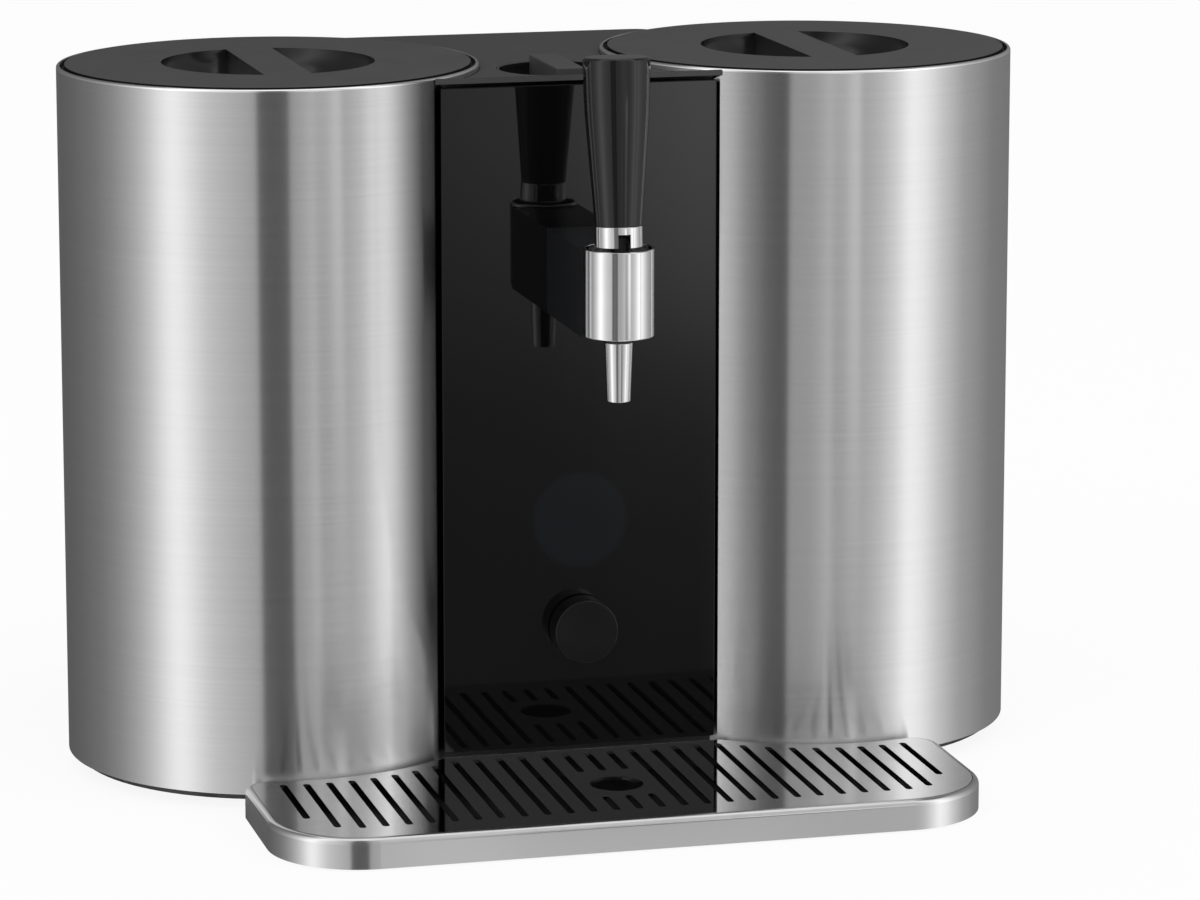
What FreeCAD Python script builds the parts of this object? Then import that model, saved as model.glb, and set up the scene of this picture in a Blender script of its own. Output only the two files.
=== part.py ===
import FreeCAD, Part

import math
import os

# A counter-top capsule beer brewer: two steel drums joined by a glass-fronted
# column with a lever tap, a round dial and a drip tray. The left drum is the
# chilled well of the fermenting keg and the right drum holds the water tank.
# X runs to the right, Y to the back and Z up from the table. The pieces are
# drawn about the line through the two drum centres, and save() moves them all
# so that the origin is on the table under the middle of the whole machine.

V = FreeCAD.Vector

# Whole machine, in millimetres
drum_diameter = 221.3
drum_pitch = 293.7
drum_top_z = 375.0
front_reach = 230.0
rear_reach = 219.0

# Fits: fixed pieces, loose lift-out pieces and turning shafts
seat_gap = 0.1
loose_gap = 0.3
shaft_gap = 0.05

# Feet and base
foot_radius = 12.0
foot_height = 4.0
foot_spread = 75.0
skirt_inset = 6.2
skirt_height = 4.0
collar_height = 12.0
collar_wall = 8.0

# Steel sleeves
sleeve_sheet = 1.2
rim_width = 1.9
rim_round = 1.5
rim_depth = 6.0
hose_window_half = 24.0
hose_window_margin = 3.0

# Wells, foam and cooling jacket
jacket_space = 13.4
well_wall = 2.0
well_floor_z = 60.0
well_flange_z = 358.0
well_flange_thick = 3.0
pedestal_radius = 70.0
pedestal_wall = 3.0
jacket_sheet = 1.5
jacket_tube_height = 2.2
jacket_tube_half = 4.0
jacket_tube_count = 7
jacket_tube_pitch = 34.0
jacket_bottom_z = 84.0
jacket_margin = 10.0
port_radius = 11.0

# Lids
lid_gap = 1.5
lid_wall = 3.0
lid_bevel = 0.8
bowl_radius = 56.0
bowl_depth = 24.0
grip_width = 24.8
plug_gap = 3.0
plug_floor_z = 330.0
plug_rest = 2.2
hub_radius = 8.0
hub_reach = 11.0
seal_height = 5.4
seal_depth = 2.0

# Keg and water tank
vessel_gap = 8.0
vessel_wall = 2.0
vessel_base_radius = 62.0
vessel_base_width = 8.0
vessel_base_lift = 7.0
keg_shoulder_z = 288.0
keg_neck_radius = 33.0
keg_neck_top_z = 321.0
keg_cap_wall = 3.2
keg_cap_height = 11.0
keg_grip_height = 2.4
tank_top_z = 322.0
tank_rim_width = 2.6
tank_grip_width = 14.0
tank_grip_height = 10.0
spout_tube_radius = 9.0
spout_tube_drop = 10.0
valve_stem_radius = 2.5
coupler_wall = 4.0
coupler_height = 17.0
spigot_rise = 1.5

# Front column
panel_reach = 85.7
glass_thick = 4.0
glass_edge_gap = 1.2
glass_top_z = 369.0
glass_bottom_z = 17.5
frame_plate = 3.0
frame_depth = 21.7
frame_post_inset = 4.0
frame_bottom_z = 8.0
display_z = 139.0
display_radius = 24.8
display_flange = 4.0
display_depth = 11.0
knob_z = 82.0

# Top deck
deck_z = 371.0
deck_skin = 3.0
deck_lip = 1.5
deck_half_width = 92.0
deck_rear = 120.0
deck_skirt_round = 10.0
deck_gap = 0.4

# Capsule hatch
hatch_reach = 36.0
hatch_radius = 31.6
hatch_gap = 0.4
hatch_bar_width = 15.0
hatch_bar_rise = 4.0
hatch_dish_depth = 11.0
hatch_skin = 2.0
hatch_rim = 0.9
hatch_dish_round = 8.0
hatch_plug_thick = 2.0
capsule_well_wall = 2.0
capsule_well_floor_z = 283.0
capsule_well_flange = 4.0
capsule_radius = 13.0
hatch_ear_depth = 1.0
hatch_ear_half = 4.0
capsule_height = 46.0
capsule_taper = 2.0
carrier_plate = 3.0
carrier_pin_radius = 1.9
capsule_flange = 1.4

# Tap
tap_to_tray_front = 65.2
tap_body_diameter = 36.3
tap_body_z = 251.2
tap_body_height = 45.0
tap_body_wall = 1.6
tap_floor = 2.0
tap_insert_recess = 7.7
tap_bore = 4.0
tap_shank_radius = 8.0
tap_shank_rise = 21.3
tap_nut_radius = 14.0
tap_nut_height = 8.0
bracket_width = 36.0
bracket_bottom_drop = 1.2
bracket_top_drop = 1.7
nozzle_length = 30.3
nozzle_top_radius = 7.3
nozzle_tip_radius = 6.1
nozzle_bore = 4.5
nozzle_neck = 3.3
nozzle_neck_radius = 6.2
plunger_tip_radius = 3.9
plunger_rod_radius = 2.0
plunger_travel = 3.0

# Tap lever
lever_lean = 3.0
lever_post_half = 3.0
lever_post_radius = 4.0
lever_pin_radius = 2.0
lever_pivot_rise = 3.8
ferrule_radius = 12.3
ferrule_wall = 2.0
ferrule_height = 10.5
ferrule_skirt = 3.1
ferrule_roof = 1.8
ferrule_notch_width = 6.4
ferrule_notch_height = 6.8
handle_bottom_radius = 11.95
handle_waist_radius = 16.5
handle_waist_rise = 58.6
handle_top_radius = 17.15
handle_height = 84.8
handle_bevel = 1.2

# Dial
knob_radius = 17.0
knob_proud = 15.0
knob_stand_off = 1.6
knob_skin = 3.0
knob_bevel = 0.8
stem_radius = 3.0
stem_hole_radius = 4.6
encoder_size = 14.0
encoder_bush_radius = 4.4
board_half_width = 43.0
board_thick = 1.6
board_gap = 10.0
board_bottom_z = 48.0
board_top_z = 246.0
board_boss_radius = 3.5
chip_height = 8.0

# Drip tray
tray_width = 372.8
tray_top_z = 16.5
tray_foot_height = 0.8
tray_corner = 48.0
tray_tip_round = 14.0
tray_drum_gap = 1.5
tray_sheet = 1.6
pan_wall = 2.4
pan_floor = 2.2
tongue_half_width = 45.0
tongue_reach = 50.0
tray_foot_radius = 8.0
plate_thick = 1.7
plate_edge_gap = 0.4
slot_pitch = 11.9
slot_width = 3.8
slots_each_side = 14
slot_rear_margin = 12.0
slot_front_margin = 20.5
slot_corner_margin = 19.5
drain_radius = 13.75
drain_to_tray_front = 68.5
drain_margin = 22.5

# Rear cover
cover_half_width = 190.0
cover_wall = 2.5
cover_corner = 32.0
cover_top_z = 352.0
cover_fall = 12.0
cover_edge_round = 14.0
louvre_width = 4.0
louvre_pitch = 10.0
louvre_length = 86.0
louvre_count = 17
louvre_bottom_z = 90.0
screw_radius = 3.6
screw_head = 1.8
screw_shank = 1.6
screw_length = 9.0

# Cooling, pumps and power
compressor_radius = 50.0
compressor_height = 128.0
compressor_dome = 22.0
compressor_gap = 9.7
compressor_mount_height = 7.0
compressor_mount_radius = 7.0
compressor_foot_reach = 60.0
compressor_foot_sheet = 2.5
condenser_inset = 22.0
condenser_half_width = 44.0
condenser_depth = 22.0
condenser_gap = 6.0
condenser_height = 230.0
condenser_fins = 11
condenser_fin_sheet = 1.2
condenser_tubes = 6
condenser_tube_half = 8.0
condenser_tube_height = 2.4
fan_half = 46.0
fan_depth = 25.0
fan_duct_radius = 43.0
fan_hub_radius = 17.0
fan_blades = 7
fan_blade_sheet = 1.6
fan_blade_chord = 17.0
fan_blade_pitch = 35.0
fan_tip_gap = 1.5
fan_motor_depth = 8.0
fan_strut = 3.0
fan_axle_radius = 2.0
fan_z = 122.0
pump_radius = 20.0
pump_height = 70.0
pump_x = 16.0
pump_y = 46.0
hose_radius = 4.0
hose_wall = 1.2
hose_bend = 12.0
hose_end_run = 14.0
shank_tail = 12.0
valve_block_half = 28.0
valve_block_front = 10.0
valve_block_length = 88.0
valve_block_height = 50.0
coil_radius = 9.0
coil_height = 26.0
power_board_inset = 64.0
power_board_half_width = 44.0
power_board_length = 72.0
power_board_gap = 10.0
power_board_stand = 6.0
power_board_stand_radius = 3.0
power_board_edge = 5.0
power_parts_height = 30.0
sink_fins = 4
sink_fin_sheet = 1.5
inlet_inset = 70.0
inlet_z = 50.0
inlet_width = 28.0
inlet_height = 21.0
inlet_depth = 24.0
inlet_wall = 2.2
inlet_recess = 17.0
inlet_blade_length = 12.0

# Worked-out sizes
drum_radius = drum_diameter / 2
drum_x = drum_pitch / 2
drum_line_y = (front_reach - rear_reach) / 2
sleeve_bore = drum_radius - sleeve_sheet
lip_radius = drum_radius - rim_width
base_z = foot_height
sleeve_z = foot_height + skirt_height
skirt_radius = drum_radius - skirt_inset
well_radius = sleeve_bore - jacket_space
well_outer = well_radius + well_wall
vessel_radius = well_radius - vessel_gap
vessel_z = well_floor_z + well_wall + loose_gap
lid_radius = lip_radius - lid_gap
plug_radius = well_radius - plug_gap
hose_z = well_floor_z - coupler_height + coupler_wall + hose_radius + spigot_rise
column_half = drum_x - drum_radius
glass_front_y = -panel_reach
tap_reach = front_reach - tap_to_tray_front
drain_reach = front_reach - drain_to_tray_front
glass_back_y = glass_front_y + glass_thick
frame_back_y = glass_back_y + frame_plate
frame_end_y = glass_back_y + frame_depth
board_y = frame_back_y + board_gap
tap_y = -tap_reach
tap_radius = tap_body_diameter / 2
tap_top_z = tap_body_z + tap_body_height
tap_hole_z = tap_body_z + tap_shank_rise
insert_top_z = tap_top_z - tap_insert_recess
lever_pivot_z = tap_top_z + lever_pivot_rise
hatch_y = -hatch_reach
cap_radius = hatch_radius - hatch_gap
hatch_floor_z = deck_z - hatch_dish_depth
hatch_low_z = hatch_floor_z - hatch_skin
hatch_ledge_z = hatch_low_z - hatch_plug_thick - 2 * loose_gap
cover_front_y = math.sqrt(drum_radius ** 2 - (cover_half_width - drum_x) ** 2)
cover_back_y = rear_reach - screw_head
cover_inner_y = cover_back_y - cover_wall
condenser_y = cover_inner_y - condenser_gap - condenser_depth
compressor_y = cover_inner_y - compressor_gap - compressor_mount_radius - compressor_foot_reach
inlet_x = cover_half_width - inlet_inset
power_board_x = cover_half_width - power_board_inset
fan_y = condenser_y - fan_depth - seat_gap
condenser_x = -(cover_half_width - condenser_inset - condenser_half_width)
shank_end_y = frame_back_y + tap_nut_height + shank_tail


def box(x0, x1, y0, y1, z0, z1):
    return Part.makeBox(x1 - x0, y1 - y0, z1 - z0, V(x0, y0, z0))


def post(radius, z0, z1, x=0.0, y=0.0):
    """A round bar standing along Z."""
    return Part.makeCylinder(radius, z1 - z0, V(x, y, z0))


def bar_y(radius, y0, y1, x=0.0, z=0.0):
    """A round bar lying along Y."""
    return Part.makeCylinder(radius, y1 - y0, V(x, y0, z), V(0, 1, 0))


def bar_x(radius, x0, x1, y=0.0, z=0.0):
    """A round bar lying along X."""
    return Part.makeCylinder(radius, x1 - x0, V(x0, y, z), V(1, 0, 0))


def ring(outer, inner, z0, z1, x=0.0, y=0.0):
    return post(outer, z0, z1, x, y).cut(post(inner, z0, z1, x, y))


def bend(centre, radius, start, end):
    """One rounded step of an outline: a middle point and an end point on an arc."""
    points = []
    for angle in ((start + end) / 2, end):
        turn = math.radians(angle)
        points.append((centre[0] + radius * math.cos(turn), centre[1] + radius * math.sin(turn)))
    return tuple(points)


def outline_face(steps, lift):
    """A flat face from corner points and bends; lift places a point in space."""
    edges = []
    here = lift(*steps[0])
    for step in steps[1:] + steps[:1]:
        if isinstance(step[0], tuple):
            there = lift(*step[1])
            edges.append(Part.Arc(here, lift(*step[0]), there).toShape())
        else:
            there = lift(*step)
            if there.distanceToPoint(here) > 1e-6:
                edges.append(Part.makeLine(here, there))
        here = there
    return Part.Face(Part.Wire(edges))


def turned(steps, x=0.0, y=0.0):
    """A piece turned about a vertical axis, from an outline of (radius, z)."""
    face = outline_face(steps, lambda radius, z: V(radius, 0, z))
    shape = face.revolve(V(0, 0, 0), V(0, 0, 1), 360)
    shape.translate(V(x, y, 0))
    return shape


def turned_y(steps, x=0.0, z=0.0):
    """A piece turned about an axis along Y, from an outline of (radius, y)."""
    face = outline_face(steps, lambda radius, y: V(radius, y, 0))
    shape = face.revolve(V(0, 0, 0), V(0, 1, 0), 360)
    shape.translate(V(x, 0, z))
    return shape


def side_prism(steps, half_width):
    """An outline of (y, z) drawn out along X to both sides."""
    face = outline_face(steps, lambda y, z: V(-half_width, y, z))
    return face.extrude(V(2 * half_width, 0, 0))


def rounded_box(x0, x1, y0, y1, z0, z1, radius, round_y):
    """A box whose two upright edges at y = round_y are rounded."""
    shape = box(x0, x1, y0, y1, z0, z1)
    edges = []
    for edge in shape.Edges:
        middle = edge.CenterOfMass
        if abs(middle.y - round_y) < 1e-6 and edge.BoundBox.ZLength > z1 - z0 - 1e-6:
            edges.append(edge)
    return shape.makeFillet(radius, edges)


def both_drums(radius, z0, z1):
    return post(radius, z0, z1, -drum_x).fuse(post(radius, z0, z1, drum_x))


def hose(points, radius, wall, corner):
    """A bent tube: straight runs joined by arcs of one radius."""
    edges = []
    here = points[0]
    for point, after in zip(points[1:-1], points[2:]):
        back = (here - point).normalize()
        on = (after - point).normalize()
        half = back.getAngle(on) / 2
        reach = corner / math.tan(half)
        start = point + back * reach
        end = point + on * reach
        middle_way = (back + on).normalize()
        middle = point + middle_way * (corner / math.sin(half) - corner)
        edges.append(Part.makeLine(here, start))
        edges.append(Part.Arc(start, middle, end).toShape())
        here = end
    edges.append(Part.makeLine(here, points[-1]))
    path = Part.Wire(edges)
    along = (points[1] - points[0]).normalize()
    tubes = []
    for size in (radius, radius - wall):
        circle = Part.Wire([Part.Circle(points[0], along, size).toShape()])
        tubes.append(path.makePipeShell([circle], True, False))
    return tubes[0].cut(tubes[1])


def save(name, *shapes):
    """Write one piece, or a set of like pieces, moved into the machine's frame."""
    moved = []
    for shape in shapes:
        shape = shape.copy()
        shape.translate(V(0, drum_line_y, 0))
        moved.extend(shape.Solids)
    result = moved[0] if len(moved) == 1 else Part.makeCompound(moved)
    if not result.isValid():
        print("not valid:", name)
    result.exportStep("parts/" + name + ".step")
    print(name, len(moved), round(sum(solid.Volume for solid in moved) / 1000, 1), "cm3")


def hose_window(x_from, x_to):
    """The gap low in a drum's inner side where hoses pass."""
    low = sleeve_z + collar_height + seat_gap
    high = hose_z + hose_radius + hose_window_margin
    return box(x_from, x_to, -hose_window_half, hose_window_half, low, high)


def inner_window(side):
    """The hose gap on the side of a drum that faces the column."""
    if side < 0:
        return hose_window(-drum_x, 0)
    return hose_window(0, drum_x)


# Base: a moulded pan with a skirt and a collar under each drum
def base_plan(half_width, rear, corner):
    """The flat shape shared by the base and the inside of the rear cover."""
    return rounded_box(-half_width, half_width, cover_front_y / 2, rear, base_z, sleeve_z, corner, rear)


def base_pan():
    half = cover_half_width - cover_wall - seat_gap
    pan = both_drums(skirt_radius, base_z, sleeve_z)
    pan = pan.fuse(box(-drum_x, drum_x, glass_back_y + seat_gap, cover_front_y, base_z, sleeve_z))
    pan = pan.fuse(base_plan(half, cover_inner_y - seat_gap, cover_corner - cover_wall))
    for side in (-1, 1):
        collar = ring(sleeve_bore - seat_gap, sleeve_bore - collar_wall, sleeve_z,
                      sleeve_z + collar_height, side * drum_x)
        pan = pan.fuse(collar)
    return pan.removeSplitter()


def feet():
    """Six rubber feet, under the drums and under the rear of the base."""
    rear_x = cover_half_width - cover_corner
    rear_y = cover_inner_y - cover_corner
    places = [(-drum_x, -foot_spread), (drum_x, -foot_spread), (-drum_x, foot_spread),
              (drum_x, foot_spread), (-rear_x, rear_y), (rear_x, rear_y)]
    return [turned([(0, 0), (foot_radius - 1, 0), (foot_radius, foot_height), (0, foot_height)], x, y)
            for x, y in places]


# Drum sleeves: brushed sheet with a rolled rim
def drum_sleeve(side):
    top = drum_top_z
    knee = (drum_radius - rim_round, top - rim_round)
    steps = [(sleeve_bore, sleeve_z), (drum_radius, sleeve_z), (drum_radius, top - rim_round),
             bend(knee, rim_round, 0, 90), (lip_radius, top), (lip_radius, top - rim_depth),
             (sleeve_bore, top - rim_depth)]
    return turned(steps, side * drum_x).cut(inner_window(side))


# Wells: a moulded tub in each drum, hung from a flange and stood on a pedestal
def well(side):
    x = side * drum_x
    edge = sleeve_bore - seat_gap
    floor = well_floor_z + well_wall
    under = well_flange_z - well_flange_thick
    steps = [(port_radius, well_floor_z), (pedestal_radius - pedestal_wall, well_floor_z),
             (pedestal_radius - pedestal_wall, sleeve_z), (pedestal_radius, sleeve_z),
             (pedestal_radius, well_floor_z), (well_outer, well_floor_z), (well_outer, under),
             (edge, under), (edge, well_flange_z), (well_radius, well_flange_z),
             (well_radius, floor), (port_radius, floor)]
    return turned(steps, x).cut(inner_window(side))


def keg_foam():
    """Foam between the cooling jacket and the left sleeve."""
    inner = well_outer + seat_gap + jacket_sheet + jacket_tube_height + seat_gap
    low = sleeve_z + collar_height + seat_gap
    high = well_flange_z - well_flange_thick - seat_gap
    return ring(sleeve_bore - seat_gap, inner, low, high, -drum_x).cut(inner_window(-1))


def cooling_jacket():
    """An aluminium jacket round the left well, with its coolant tube raised in rings."""
    inner = well_outer + seat_gap
    outer = inner + jacket_sheet
    top = jacket_bottom_z + (jacket_tube_count - 1) * jacket_tube_pitch + jacket_margin
    steps = [(inner, jacket_bottom_z - jacket_margin), (outer, jacket_bottom_z - jacket_margin)]
    for count in range(jacket_tube_count):
        z = jacket_bottom_z + count * jacket_tube_pitch
        crest = outer + jacket_tube_height
        steps.extend([(outer, z - jacket_tube_half), (crest, z - jacket_tube_half / 2),
                      (crest, z + jacket_tube_half / 2), (outer, z + jacket_tube_half)])
    steps.append((outer, top))
    steps.append((inner, top))
    return turned(steps, -drum_x)


def coupler(side):
    """A cup under a well's port that takes a vessel's outlet and feeds a hose."""
    inner = port_radius
    outer = inner + coupler_wall
    low = well_floor_z - coupler_height
    steps = [(0, low), (outer, low), (outer, well_floor_z), (inner, well_floor_z),
             (inner, low + coupler_wall), (0, low + coupler_wall)]
    x = side * drum_x
    cup = turned(steps, x)
    reach = outer + hose_radius
    start = min(x, x - side * reach)
    spigot = bar_x(hose_radius, start, start + reach, 0, hose_z)
    bore = bar_x(hose_radius - hose_wall, start - 1, start + reach + 1, 0, hose_z)
    hollow = post(inner, low + coupler_wall, well_floor_z, x)
    leg = post(outer, sleeve_z, low, x).cut(post(outer - coupler_wall, sleeve_z, low, x))
    return cup.fuse(spigot).fuse(leg).cut(hollow).cut(bore)


# Lids: a dished cap that turns on a plug, with a seal round the plug
bowl_sphere_radius = (bowl_radius ** 2 + bowl_depth ** 2) / (2 * bowl_depth)
bowl_centre_z = drum_top_z - bowl_depth + bowl_sphere_radius
bowl_under_z = drum_top_z - bowl_depth - lid_wall


def lid_cap(side):
    x = side * drum_x
    rest_z = well_flange_z + 2 * loose_gap
    steps = [(0, rest_z), (lid_radius, rest_z), (lid_radius, drum_top_z - lid_bevel),
             (lid_radius - lid_bevel, drum_top_z), (0, drum_top_z)]
    cap = turned(steps, x)
    cap = cap.cut(post(lid_radius - lid_wall, rest_z, drum_top_z - lid_wall, x))
    dish = Part.makeSphere(bowl_sphere_radius + lid_wall, V(x, 0, bowl_centre_z))
    dish = dish.common(post(lid_radius, bowl_under_z - 1, drum_top_z - lid_wall / 2, x))
    cap = cap.fuse(dish).fuse(post(hub_radius, bowl_under_z - hub_reach, bowl_under_z + lid_wall, x))
    bowl = Part.makeSphere(bowl_sphere_radius, V(x, 0, bowl_centre_z))
    cap = cap.cut(bowl)
    half = grip_width / 2
    grip = box(x - half, x + half, -bowl_radius, bowl_radius, bowl_under_z, drum_top_z)
    grip = grip.common(Part.makeSphere(bowl_sphere_radius + lid_wall / 2, V(x, 0, bowl_centre_z)))
    return cap.fuse(grip).removeSplitter()


def lid_plug(side):
    x = side * drum_x
    rest = well_flange_z + loose_gap
    rest_radius = lid_radius - lid_wall - 2 * loose_gap
    wall = plug_radius - lid_wall
    floor = plug_floor_z + lid_wall
    groove = plug_radius - seal_depth
    groove_z = plug_floor_z + lid_wall
    boss = hub_radius + lid_wall
    boss_top = bowl_under_z - 1.0
    steps = [(0, plug_floor_z), (plug_radius, plug_floor_z), (plug_radius, groove_z),
             (groove, groove_z), (groove, groove_z + seal_height),
             (plug_radius, groove_z + seal_height), (plug_radius, rest), (rest_radius, rest),
             (rest_radius, rest + plug_rest), (wall - 1, rest + plug_rest), (wall - 1, floor),
             (boss, floor), (boss, boss_top), (hub_radius + shaft_gap, boss_top),
             (hub_radius + shaft_gap, floor - 0.5), (0, floor - 0.5)]
    return turned(steps, x)


def lid_seal(side):
    """A soft ring in the plug's groove, just clear of the well's wall."""
    x = side * drum_x
    inner = plug_radius - seal_depth
    low = plug_floor_z + lid_wall
    lip = well_radius - loose_gap
    middle = low + seal_height / 2
    steps = [(inner, low), (plug_radius, low), (lip, middle), (plug_radius, low + seal_height),
             (inner, low + seal_height)]
    return turned(steps, x)


# Vessels: the fermenting keg and the water tank
def vessel_foot(bottom):
    """The turned start of a vessel's outline: a raised middle and a standing ring."""
    return [(vessel_base_radius, bottom + vessel_base_lift), (vessel_base_radius, bottom),
            (vessel_base_radius + vessel_base_width, bottom)]


def keg():
    x = -drum_x
    z = vessel_z
    r = vessel_radius
    wall = vessel_wall
    foot_edge = vessel_base_radius + vessel_base_width
    lift = z + vessel_base_lift
    shoulder = keg_shoulder_z
    crown = keg_neck_top_z - keg_cap_height
    round_z = r - foot_edge
    steps = [(0, lift)] + vessel_foot(z)
    steps.append(bend((foot_edge, z + round_z), round_z, -90, 0))
    steps.append((r, shoulder))
    steps.append(bend((r - (crown - shoulder), shoulder), crown - shoulder, 0, 90))
    steps.extend([(keg_neck_radius, crown), (keg_neck_radius, keg_neck_top_z), (0, keg_neck_top_z)])
    body = turned(steps, x)
    inner = r - wall
    floor = lift + wall
    dome = crown - shoulder
    steps = [(0, floor), (inner - round_z, floor), (inner, floor + round_z), (inner, shoulder),
             bend((inner - (dome - wall), shoulder), dome - wall, 0, 90),
             (keg_neck_radius - wall, crown - wall), (keg_neck_radius - wall, keg_neck_top_z),
             (0, keg_neck_top_z)]
    outlet = ring(spout_tube_radius, valve_stem_radius + wall, well_floor_z - spout_tube_drop / 2,
                  floor, x)
    bore = post(valve_stem_radius + wall, well_floor_z - spout_tube_drop, floor + 1, x)
    return body.cut(turned(steps, x)).fuse(outlet).cut(bore)


def keg_cap():
    """A quarter-turn closure with a low grip bar."""
    x = -drum_x
    inner = keg_neck_radius + loose_gap
    outer = inner + keg_cap_wall
    top = keg_neck_top_z + loose_gap + keg_cap_wall
    low = keg_neck_top_z - keg_cap_height + 2
    cap = post(outer, low, top, x).cut(post(inner, low, top - keg_cap_wall, x))
    bar = box(x - keg_cap_wall, x + keg_cap_wall, -outer + 4, outer - 4, top, top + keg_grip_height)
    return cap.fuse(bar)


def water_tank():
    x = drum_x
    z = vessel_z
    r = vessel_radius
    foot_edge = vessel_base_radius + vessel_base_width
    lift = z + vessel_base_lift
    round_z = r - foot_edge
    rim = r + tank_rim_width
    steps = [(0, lift)] + vessel_foot(z)
    steps.append(bend((foot_edge, z + round_z), round_z, -90, 0))
    steps.extend([(r, tank_top_z - tank_rim_width), (rim, tank_top_z - tank_rim_width),
                  (rim, tank_top_z), (0, tank_top_z)])
    tank = turned(steps, x)
    inner = r - vessel_wall
    floor = lift + vessel_wall
    steps = [(0, floor), (inner - round_z, floor), (inner, floor + round_z), (inner, tank_top_z),
             (0, tank_top_z)]
    tank = tank.cut(turned(steps, x))
    half = tank_grip_width / 2
    grip = box(x - r + 1, x + r - 1, -half, half, tank_top_z - tank_grip_height, tank_top_z)
    outlet = post(spout_tube_radius, well_floor_z - spout_tube_drop / 2, floor, x)
    bore = post(valve_stem_radius + vessel_wall, well_floor_z - spout_tube_drop, floor + 1, x)
    return tank.fuse(grip).fuse(outlet).cut(bore)


def vessel_valve(side):
    """A sprung stem in a vessel's outlet, with a disc on the vessel's floor."""
    floor = vessel_z + vessel_base_lift + vessel_wall
    disc = valve_stem_radius + vessel_wall + 3
    low = well_floor_z - spout_tube_drop / 2
    steps = [(0, low), (valve_stem_radius, low), (valve_stem_radius, floor), (disc, floor),
             (disc, floor + vessel_wall), (valve_stem_radius, floor + 2 * vessel_wall), (0, floor + 2 * vessel_wall)]
    return turned(steps, side * drum_x)


# Front column: moulded frame, glass, display and board
def front_frame():
    wide = drum_x
    top = deck_z - deck_skin - seat_gap
    frame = box(-wide, wide, glass_back_y, frame_end_y, frame_bottom_z, top)
    end_half = drum_x - math.sqrt((drum_radius + seat_gap) ** 2 - frame_end_y ** 2)
    inner = end_half - frame_post_inset
    frame = frame.cut(box(-inner, inner, frame_back_y, frame_end_y + 1, frame_bottom_z + frame_plate, top - frame_plate))
    frame = frame.cut(both_drums(drum_radius + seat_gap, 0, drum_top_z))
    frame = frame.common(box(-drum_x + drum_radius / 2, drum_x - drum_radius / 2, glass_back_y, 0, 0, top))
    frame = frame.cut(bar_y(display_radius + seat_gap, glass_back_y, frame_back_y, 0, display_z))
    frame = frame.cut(bar_y(tap_shank_radius + seat_gap, glass_back_y, frame_back_y, 0, tap_hole_z))
    frame = frame.cut(bar_y(encoder_bush_radius + seat_gap, glass_back_y, frame_back_y, 0, knob_z))
    flange = hatch_radius + capsule_well_wall + capsule_well_flange
    frame = frame.cut(post(flange + seat_gap, capsule_well_floor_z, deck_z, 0, hatch_y))
    for x, z in board_bosses():
        frame = frame.fuse(bar_y(board_boss_radius, frame_back_y, board_y, x, z))
    return frame


def board_bosses():
    x = board_half_width - board_boss_radius
    low = board_bottom_z + board_boss_radius
    high = board_top_z - board_boss_radius
    return [(-x, low), (x, low), (-x, high), (x, high)]


def front_glass():
    glass = box(-drum_x, drum_x, glass_front_y, glass_back_y, glass_bottom_z, glass_top_z)
    glass = glass.cut(both_drums(drum_radius + glass_edge_gap, 0, drum_top_z))
    glass = glass.common(box(-drum_x + drum_radius / 2, drum_x - drum_radius / 2, glass_front_y, 0, 0, drum_top_z))
    glass = glass.cut(bar_y(tap_shank_radius + seat_gap, glass_front_y, glass_back_y, 0, tap_hole_z))
    return glass.cut(bar_y(stem_hole_radius, glass_front_y, glass_back_y, 0, knob_z))


def display_module():
    """The round screen behind the glass, with the flange that holds it to the frame."""
    back = glass_back_y + display_depth
    steps = [(0, glass_back_y), (display_radius, glass_back_y), (display_radius, frame_back_y),
             (display_radius + display_flange, frame_back_y),
             (display_radius + display_flange, frame_back_y + 2), (display_radius - 3, frame_back_y + 2),
             (display_radius - 3, back), (0, back)]
    return turned_y(steps, 0, display_z).cut(bar_y(display_radius, frame_back_y + 2, back + 1, 0, 0))


def control_board():
    """The circuit board behind the display, with its chips, and the dial's encoder."""
    back = board_y + board_thick
    board = box(-board_half_width, board_half_width, board_y, back, board_bottom_z, board_top_z)
    height = board_top_z - board_bottom_z
    chips = [(-0.70, -0.14, 0.62, 0.79, 0.93), (0.14, 0.70, 1.0, 0.75, 0.95), (-0.79, -0.23, 0.75, 0.52, 0.65),
             (0.19, 0.79, 0.5, 0.55, 0.69), (-0.74, 0.74, 0.87, 0.05, 0.11)]
    for left, right, tall, low, high in chips:
        board = board.fuse(box(left * board_half_width, right * board_half_width, back, back + tall * chip_height,
                               board_bottom_z + low * height, board_bottom_z + high * height))
    return board


def encoder():
    """The dial's encoder: a square body on the board and a bush through the frame."""
    half = encoder_size / 2
    body = box(-half, half, frame_back_y, board_y, knob_z - half, knob_z + half)
    bush = bar_y(encoder_bush_radius, glass_back_y, frame_back_y, 0, knob_z)
    bore = bar_y(stem_radius + shaft_gap, glass_back_y - 1, board_y - 1, 0, knob_z)
    return body.fuse(bush).cut(bore)


def dial_knob():
    front = glass_front_y - knob_proud
    back = glass_front_y - knob_stand_off
    bore_end = front + knob_skin
    inner = knob_radius - knob_skin
    hub = stem_radius + knob_skin
    steps = [(0, front), (knob_radius - knob_bevel, front), (knob_radius, front + knob_bevel),
             (knob_radius, back), (inner, back), (inner, bore_end), (hub, bore_end), (hub, back),
             (stem_radius + shaft_gap, back), (stem_radius + shaft_gap, bore_end), (0, bore_end)]
    return turned_y(steps, 0, knob_z)


def dial_stem():
    front = glass_front_y - knob_proud + knob_skin + loose_gap
    return bar_y(stem_radius, front, frame_back_y + 3, 0, knob_z)


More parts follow.
